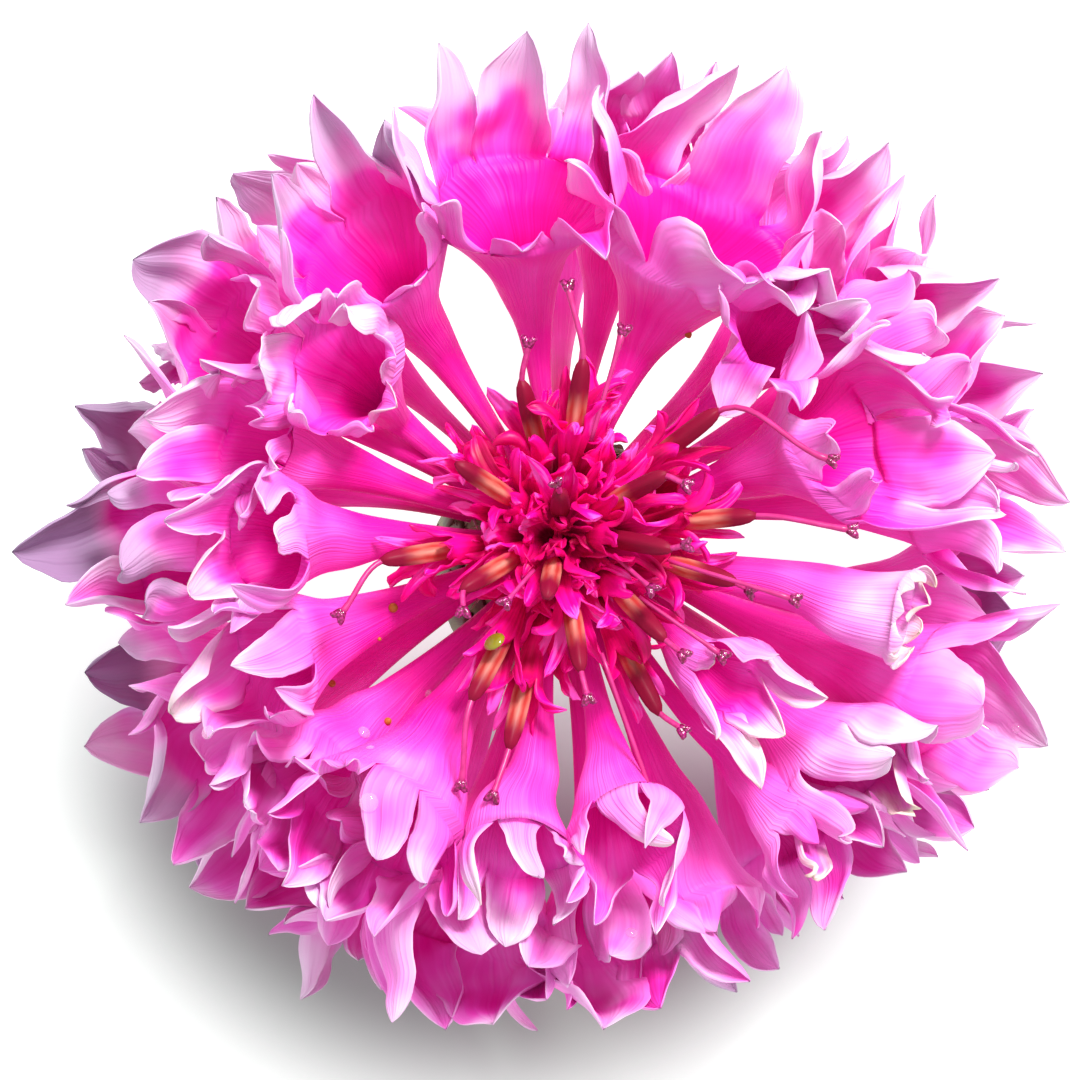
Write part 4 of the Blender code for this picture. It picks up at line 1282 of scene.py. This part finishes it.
# distance from the axis, how many, height
YOUNG = [(0.6, 4, 17.3), (1.5, 7, 17.0), (2.5, 9, 16.4), (3.5, 9, 15.6), (4.6, 6, 14.9)]
for ring, many, height in YOUNG:
    for k in range(many):
        at = 360 * k / many + rng.uniform(-14, 14) + ring * 31
        top = polar(at, ring * rng.uniform(0.9, 1.15), height + rng.uniform(-0.4, 0.5))
        facing = heading(at + rng.uniform(-20, 20), 84 - ring * 13 + rng.uniform(-8, 8))
        root = polar(at, ring * 0.55, dome_height(ring * 0.55) + 0.1)
        pull = np.linalg.norm(top - root)
        line = smooth_curve(root, heading(at, 80) * pull, top, facing * pull, 12)
        seed = int(500 + ring * 100 + k)
        limb = COROLLA._replace(seed=seed, swell=3.0, curl=34, near=34, cup=1.4, wild=2.2)
        sheet = Sheet()
        grow_trumpet(sheet, Spine(line, -heading(at)), Size(0.14, 0.24, 0.62, 1.35, 0.09, 8, 9, 8), limb)
        sheet.into(young, 0)
print("young corollas:", sum(many for _, many, _ in YOUNG))

# %% Stray styles
# where each comes out and where its stigma is, both as azimuth, distance, height
STRAY = [
    ((342, 4.2, 18.2), (342, 9.2, 19.4)),
    ((318, 4.0, 18.0), (321, 7.8, 18.8)),
    ((288, 5.0, 17.6), (289, 12.0, 16.8)),
    ((330, 2.4, 18.6), (324, 4.2, 20.0)),
    ((70, 3.4, 18.4), (72, 7.6, 19.4)),
    ((240, 2.0, 19.0), (236, 3.6, 20.2)),
]
for base, place in STRAY:
    root, place = polar(*base), polar(*place)
    gap = np.linalg.norm(place - root)
    leaving, arriving = unit(place - root + UP * 0.5), unit(place - root - UP * 0.3)
    line = smooth_curve(root, leaving * gap, place, arriving * gap, 12)
    stalk(young, line, [0.085] * 8 + [0.11, 0.13], 2, ALMOST_UP, sides=8)
    forked_stigma(young, place, unit(line[-1] - line[-3]), rng)
made = young.make(crimson, anther, style_pink, stigma)
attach(made, "root")
print("stray styles:", len(STRAY), "and", len(made.data.polygons), "faces in all")

# %% [markdown]
# ## Growing things with Geometry Nodes
# Bracts, their fringes and the chaff on the heart all repeat, so Geometry Nodes place them. A small class
# builds a tree from named inputs, in the same way that the finishes are built, and bakes the result into
# a plain mesh.

# %% A geometry tree as an expression
class Bed(NodeWriter):
    """A Geometry Nodes tree with named inputs."""

    def __init__(self, name, **inputs):
        self.tree = bpy.data.node_groups.new(name, "GeometryNodeTree")
        self.tree.interface.new_socket(name="Geometry", in_out="INPUT", socket_type="NodeSocketGeometry")
        self.sockets = {}
        for label, (kind, value) in inputs.items():
            kind = "NodeSocket" + kind
            socket = self.tree.interface.new_socket(name=label, in_out="INPUT", socket_type=kind)
            self.sockets[label] = (socket.identifier, value)
        self.tree.interface.new_socket(name="Geometry", in_out="OUTPUT", socket_type="NodeSocketGeometry")
        self.start = self.tree.nodes.new("NodeGroupInput")
        self.end = self.tree.nodes.new("NodeGroupOutput")

    def input(self, label="Geometry"):
        """One of the tree's own inputs."""
        return Wire(self, self.start.outputs[label])

    def place(self):
        """Where each point is."""
        return self.node("GeometryNodeInputPosition")

    def scaled(self, vector, factor):
        """A vector times a number."""
        return self.node("ShaderNodeVectorMath", {"operation": "SCALE"}, {0: vector, "Scale": factor})

    def cone(self, sides, foot, tip, length):
        """A thin cone that stands on its wide end."""
        values = {"Vertices": sides, "Radius Bottom": foot, "Radius Top": tip, "Depth": length}
        return self.node("GeometryNodeMeshCone", None, values)

    def chance(self, low, high, seed=0):
        """A different number between low and high for each copy."""
        values = {2: low, 3: high, "Seed": seed}
        return self.node("FunctionNodeRandomValue", {"data_type": "FLOAT"}, values, output=1)

    def facing(self, axis, direction):
        """The turn that brings an axis into a direction."""
        return self.node("FunctionNodeAlignRotationToVector", {"axis": axis}, {"Vector": direction})

    def plant(self, points, copy, turn, scale):
        """A copy on every point."""
        values = {"Points": points, "Instance": copy, "Rotation": turn, "Scale": scale}
        return self.node("GeometryNodeInstanceOnPoints", None, values)

    def finish(self, geometry, finish):
        """Ends the tree: real meshes, with their finish."""
        real = self.node("GeometryNodeRealizeInstances", None, [geometry])
        dressed = self.node("GeometryNodeSetMaterial", None, {"Geometry": real})
        dressed.socket.node.inputs["Material"].default_value = finish.material
        self.tree.links.new(dressed.socket, self.end.inputs[0])

    def run(self, name, base, **values):
        """Grows the tree on a copy of a mesh and returns the result as a plain object."""
        holder = bpy.data.objects.new(name, base)
        scene.collection.objects.link(holder)
        modifier = holder.modifiers.new("bed", "NODES")
        modifier.node_group = self.tree
        for label, (identifier, value) in self.sockets.items():
            modifier[identifier] = values.get(label, value)
        bpy.context.view_layer.update()
        grown = holder.evaluated_get(bpy.context.evaluated_depsgraph_get())
        mesh = bpy.data.meshes.new_from_object(grown)
        bpy.data.objects.remove(holder)
        mesh.name = name
        made = bpy.data.objects.new(name, mesh)
        scene.collection.objects.link(made)
        return made


def plain_mesh(name, points, faces, edges=()):
    """A mesh from points in millimetres."""
    mesh = bpy.data.meshes.new(name)
    mesh.from_pydata([[c * MM for c in p] for p in points], list(edges), faces)
    return mesh


print("geometry beds ready")

# %% [markdown]
# ## Bracts
# The cup under the head is built of overlapping green bracts, like roof tiles. Each bract is a small
# ovate scale, paler down its middle, with a papery brown margin that is cut into a fringe of fine teeth.
# One scale is modelled, its fringe is grown along its edge, and rows of scales are then grown round the
# heart.

# %% Bract finishes
bract = Finish("bract_green", (0.12, 0.20, 0.06), 0.55)
across = bract.attribute("edge")
upwards = bract.attribute("along")
ribs = bract.along_veins(30.0, 2.0, 6.1)
green = bract.blend(across + (ribs - 0.5) * 0.8, (0.22, 0.34, 0.10), (0.07, 0.13, 0.035))
browned = bract.steps(upwards + across * 0.35 + (ribs - 0.5) * 0.2, 0.72, 1.05)
green = bract.blend(browned, green, (0.10, 0.035, 0.02))
bract.use("Base Color", green)
bract.bump(ribs, 0.5, 0.08)

fringe = Finish("bract_fringe", (0.16, 0.07, 0.04), 0.6)
papery = fringe.speckle(2500.0)
fringe.use("Base Color", fringe.blend(papery, (0.07, 0.025, 0.015), (0.36, 0.20, 0.12)))
print("bract finishes ready")

# %% [markdown]
# ## One scale with its fringe
# The scale is one sheet, ovate, hollow on its inner side and drawn in at the tip. Its foot is at the
# origin, so that it can be set anywhere. The teeth of the fringe are thin cones that a bed sets along the
# scale's brim.

# %% One scale
SCALE_LENGTH, SCALE_WIDTH, SCALE_SKIN = 5.0, 2.9, 0.22
piece = Piece("bract_scale")
sheet = Sheet()
v, u = np.meshgrid(np.linspace(0, 1, 15), np.linspace(-1, 1, 11), indexing="ij")
oval = np.sqrt(np.clip(1 - (1.25 * (v - 0.42) / 0.75) ** 2, 0, 1))
half_width = SCALE_WIDTH / 2 * oval * (1 - 0.55 * v**5)
half_width[0] *= 0.9
hollow = 0.45 * u**2 + 0.25 * v**2
points = np.stack([-hollow, u * half_width, v * SCALE_LENGTH], -1)
marks = np.zeros((*v.shape, len(MARKS)))
marks[..., 0], marks[..., 1] = v, np.abs(u)
rows = sheet.add(points, marks, SCALE_SKIN)
sheet.weave(rows, (u + 1) / 2, v)
sheet.into(piece)
scale = piece.make(bract, origin=np.zeros(3))
print("one scale:", len(scale.data.polygons), "faces")

# %% The fringe of a scale
# the brim runs up one side of the scale and down the other
brim = [tuple(p) for p in points[6:, 0]] + [tuple(p) for p in points[6:, -1][::-1]]
margin = plain_mesh("margin", brim, [], [(i, i + 1) for i in range(len(brim) - 1)])
TEETH_CENTRE = (0.2 * MM, 0.0, 2.2 * MM)  # all teeth point away from here

teeth = Bed(
    "fringe_teeth",
    Count=("Int", 34),
    Length=("Float", 0.7 * MM),
    Thickness=("Float", 0.05 * MM),
    Seed=("Int", 4),
)
line = teeth.node("GeometryNodeMeshToCurve", None, [teeth.input()])
line = teeth.node("GeometryNodeResampleCurve", None, {"Curve": line, "Count": teeth.input("Count")})
tooth = teeth.cone(5, teeth.input("Thickness"), 0.008 * MM, teeth.input("Length"))
outward = teeth.node("ShaderNodeVectorMath", {"operation": "SUBTRACT"}, [teeth.place(), TEETH_CENTRE])
vary = teeth.chance(0.6, 1.15, teeth.input("Seed"))
teeth.finish(teeth.plant(line, tooth, teeth.facing("Z", outward), vary), fringe)
comb = teeth.run("bract_comb", margin)
print("fringe teeth:", len(comb.data.polygons), "faces")

# %% Scale and fringe in one mesh
mesh = bmesh.new()
mesh.from_mesh(scale.data)
offset = len(scale.data.materials)
scale.data.materials.append(fringe.material)
first = len(mesh.faces)
mesh.from_mesh(comb.data)
mesh.faces.ensure_lookup_table()
for face in mesh.faces[first:]:
    face.material_index = offset
mesh.to_mesh(scale.data)
mesh.free()
bpy.data.objects.remove(comb)
print("fringed scale:", len(scale.data.polygons), "faces")

# %% [markdown]
# ## Rows of scales
# A row is a circle of points with a scale on each, turned to face outwards and tilted a little, with some
# jitter so that no two stand alike. Each row is turned against the one below, as roof tiles are. The cup
# leans towards one side: whatever is below the hip is shifted, the more the lower it is.

# %% The bed of a row
tiles = Bed(
    "bract_rows",
    Scale=("Object", None),
    Count=("Int", 12),
    Radius=("Float", 4 * MM),
    Height=("Float", 0.0),
    Tilt=("Float", 0.1),
    Turn=("Float", 0.0),
    Size=("Float", 1.0),
    Slide=("Vector", (0.0, 0.0, 0.0)),
    Seed=("Int", 1),
)
HIP = 11.0 * MM  # below this height the cup slides to one side
ring = tiles.node(
    "GeometryNodeMeshCircle",
    {"fill_type": "NONE"},
    {"Vertices": tiles.input("Count"), "Radius": tiles.input("Radius")},
)
tile = tiles.node(
    "GeometryNodeObjectInfo",
    {"transform_space": "ORIGINAL"},
    {"Object": tiles.input("Scale")},
    output="Geometry",
)
facing_out = tiles.facing("X", tiles.place())
jitter = tiles.chance(-0.07, 0.07, tiles.input("Seed"))
tip_out = tiles.node(
    "FunctionNodeAxisAngleToRotation",
    None,
    {"Axis": (0.0, 1.0, 0.0), "Angle": tiles.input("Tilt") + jitter},
)
turned = tiles.node("FunctionNodeRotateRotation", {"rotation_space": "LOCAL"}, [facing_out, tip_out])
laid = tiles.plant(ring, tile, turned, tiles.input("Size"))
spun = tiles.node("ShaderNodeCombineXYZ", None, {"Z": tiles.input("Turn")})
raised = tiles.node("ShaderNodeCombineXYZ", None, {"Z": tiles.input("Height")})
laid = tiles.node(
    "GeometryNodeTransform", None, {"Geometry": laid, "Rotation": spun, "Translation": raised}
)
laid = tiles.node("GeometryNodeRealizeInstances", None, [laid])
low = tiles.node("ShaderNodeSeparateXYZ", None, [tiles.place()], output="Z")
drop = tiles.node("ShaderNodeMath", {"operation": "MINIMUM"}, [low, HIP]) - HIP
lean = tiles.scaled(tiles.input("Slide"), drop)
laid = tiles.node("GeometryNodeSetPosition", None, {"Geometry": laid, "Offset": lean})
tiles.tree.links.new(laid.socket, tiles.end.inputs[0])
print("nodes in the bed of a row:", len(tiles.tree.nodes))

# %% Four rows
seedling = plain_mesh("seedling", [(0, 0, 0)], [])
CUP_SLIDE = (0.12, 0.08, 0.0)  # sideways for each millimetre below the hip
# how many, height of the foot, radius, tilt outwards, size
ROWS = {
    "bract_row_1": (9, 0.15, 2.35, 0.40, 0.80),
    "bract_row_2": (12, 2.5, 3.75, 0.16, 0.92),
    "bract_row_3": (13, 4.9, 4.25, 0.06, 1.0),
    "bract_row_4": (13, 7.2, 4.25, 0.04, 0.92),
}
for number, (name, (count, height, radius, tilt, size)) in enumerate(ROWS.items()):
    made = tiles.run(
        name + "_scales",
        seedling,
        Scale=scale,
        Count=count,
        Height=height * MM,
        Radius=radius * MM,
        Tilt=tilt,
        Turn=number * math.pi / count * 1.05,
        Size=size,
        Slide=CUP_SLIDE,
        Seed=number + 1,
    )
    made.data.transform(Matrix.Translation(Vector(AXIS * MM)))
    made.data.shade_smooth()
    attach(made, "root")
    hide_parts(name)
    print(name, count, "scales,", len(made.data.polygons), "faces")
bpy.data.objects.remove(scale)

# %% [markdown]
# ## The heart
# The heart is the fleshy base that everything stands on. Its solid has the right shape, so it stays and
# only gets its finish: dull green flesh, cut clean at the bottom, its green darkened as painted shade
# because it shows only deep between the florets. Between the florets' feet it carries fine chaff, whose
# pink is painted light bounced from the petals all round. The chaff grows on a thin dome that copies the
# top of the heart.

# %% The heart
# the flesh's colours are partly its own dull green and partly painted shade, since it is only seen deep
# between the florets
flesh = Finish("heart_flesh", (0.24, 0.28, 0.11), 0.6)
pith = flesh.speckle(700.0)
flesh.use("Base Color", flesh.blend(pith, (0.12, 0.15, 0.05), (0.34, 0.37, 0.17)))
flesh.bump(pith, 0.5, 0.1)
heart = nodes["receptacle"]
heart.data.materials.clear()
heart.data.materials.append(flesh.material)
print("heart:", len(heart.data.polygons), "faces")

# %% The dome that carries the chaff
# painted reflection: the chaff's pink is the petals' colour bounced onto it
chaff = Finish("chaff", (0.80, 0.55, 0.66), 0.4)
tone = chaff.speckle(1800.0)
chaff.use("Base Color", chaff.blend(tone, (0.62, 0.16, 0.34), (0.90, 0.70, 0.76)))
RINGS, SPOKES = [0.3, 1.0, 1.65, 2.25, 2.9, 3.4], 20
corners, faces = [], []
for number, r in enumerate(RINGS):
    corners += [tuple(polar(360 / SPOKES * k, r, dome_height(r) - 0.05)) for k in range(SPOKES)]
    if number > 0:
        inner, outer = (number - 1) * SPOKES, number * SPOKES
        for k in range(SPOKES):
            after = (k + 1) % SPOKES
            faces.append((outer + k, outer + after, inner + after, inner + k))
dome = plain_mesh("dome", corners, faces)
print("dome:", len(faces), "faces")

# %% Chaff
SPLAY = 170.0  # how much further a bristle leans out for each metre from the axis
bristles = Bed("chaff_bed", Density=("Float", 6.0e6), Length=("Float", 2.6 * MM), Seed=("Int", 8))
spots = bristles.node(
    "GeometryNodeDistributePointsOnFaces",
    {"distribute_method": "RANDOM"},
    {"Mesh": bristles.input(), "Density": bristles.input("Density"), "Seed": bristles.input("Seed")},
)
bristle = bristles.cone(4, 0.05 * MM, 0.01 * MM, bristles.input("Length"))
wander = bristles.node(
    "FunctionNodeRandomValue",
    {"data_type": "FLOAT_VECTOR"},
    {0: (-0.5, -0.5, 1.0), 1: (0.5, 0.5, 1.3), "Seed": bristles.input("Seed") + 1},
)
level = bristles.node(
    "ShaderNodeVectorMath",
    {"operation": "MULTIPLY"},
    [bristles.scaled(bristles.place(), SPLAY), (1.0, 1.0, 0.0)],
)
leaning = bristles.node("ShaderNodeVectorMath", {"operation": "ADD"}, [wander, level])
planted = bristles.plant(spots, bristle, bristles.facing("Z", leaning), bristles.chance(0.5, 1.1))
bristles.finish(planted, chaff)
made = bristles.run("chaff_bristles", dome)
made.data.transform(Matrix.Translation(Vector(AXIS * MM)))
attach(made, "root")
print("chaff:", len(made.data.polygons), "faces")

# %% [markdown]
# ## Pollen and dew
# Loose grains of pollen cling to the petals near the anthers, and a few drops of water lie on the lobes.
# Each is a small solid bead. Its place is found by looking down on the flower at an azimuth and a
# distance and seeing which petal is hit. Only florets that can carry one are searched.

# %% Finishes of the beads, and where they can land
pollen = Finish("pollen_ochre", (0.46, 0.15, 0.015), 0.6)
# painted light: water is clear, and the drop's pale pink stands in for the petal seen through it
water = Finish("water_drop", (0.98, 0.70, 0.92), 0.03, Specular_IOR_Level=1.0, Alpha=0.22)
nectar = Finish("green_drop", (0.30, 0.26, 0.006), 0.08, Specular_IOR_Level=0.9)
BARE = ("lower", "middle_floret_01", "middle_floret_02", "upper_floret_01", "upper_floret_02")
carriers = [name + "_petal" for name in RAYS if not name.startswith(BARE)]
carriers += [f"disc_floret_{number:02d}_flower" for number in range(1, len(DISCS) + 1)]
corners, faces = [], []
for name in carriers:
    mesh = bpy.data.objects[name].data
    faces += [[v + len(corners) for v in face.vertices] for face in mesh.polygons]
    corners += [v.co.copy() for v in mesh.vertices]
skin = BVHTree.FromPolygons(corners, faces)
print("florets searched:", len(carriers))

# %% Grains and drops
# azimuth, distance, radius, finish: 0 pollen, 1 water, 2 nectar
BEADS = [
    (205, 7.0, 0.19, 0), (214, 10.5, 0.15, 0), (228, 9.8, 0.15, 0), (57, 8.9, 0.14, 0),
    (211, 8.0, 0.08, 0), (210, 15.3, 0.28, 1), (226, 10.7, 0.26, 1), (229, 10.9, 0.16, 1),
    (230, 11.9, 0.20, 1), (235, 12.5, 0.38, 1), (280, 15.5, 0.24, 1), (328, 11.0, 0.20, 1),
    (336.5, 19.0, 0.22, 1), (231, 8.0, 0.16, 1), (240, 4.9, 0.44, 2),
]
BEAD_OUTLINE = np.array([0.55, 0.9, 1.0, 0.97, 0.85, 0.62, 0.2])
HIGH_ABOVE = 30.0  # the height from which the beads are dropped
beads = Piece("pollen_and_drops")
for azimuth, distance, radius, kind in BEADS:
    above = seen(azimuth, distance, HIGH_ABOVE) + AXIS
    place, normal, _, _ = skin.ray_cast(Vector(above * MM), Vector(-eye))
    if place is None:
        continue
    place, normal = np.array(place) / MM - AXIS, np.array(normal)
    normal = normal * math.copysign(1.0, normal @ eye)
    tall = radius * (1.4 if kind == 0 else 0.6)
    line = [place - normal * 0.3 * tall, place + normal * tall]
    stalk(beads, line, BEAD_OUTLINE * radius, kind, towards=np.array([0.3, 0.9, 0.2]), sides=12)
made = beads.make(pollen, water, nectar)
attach(made, "root")
print("beads:", len(BEADS))
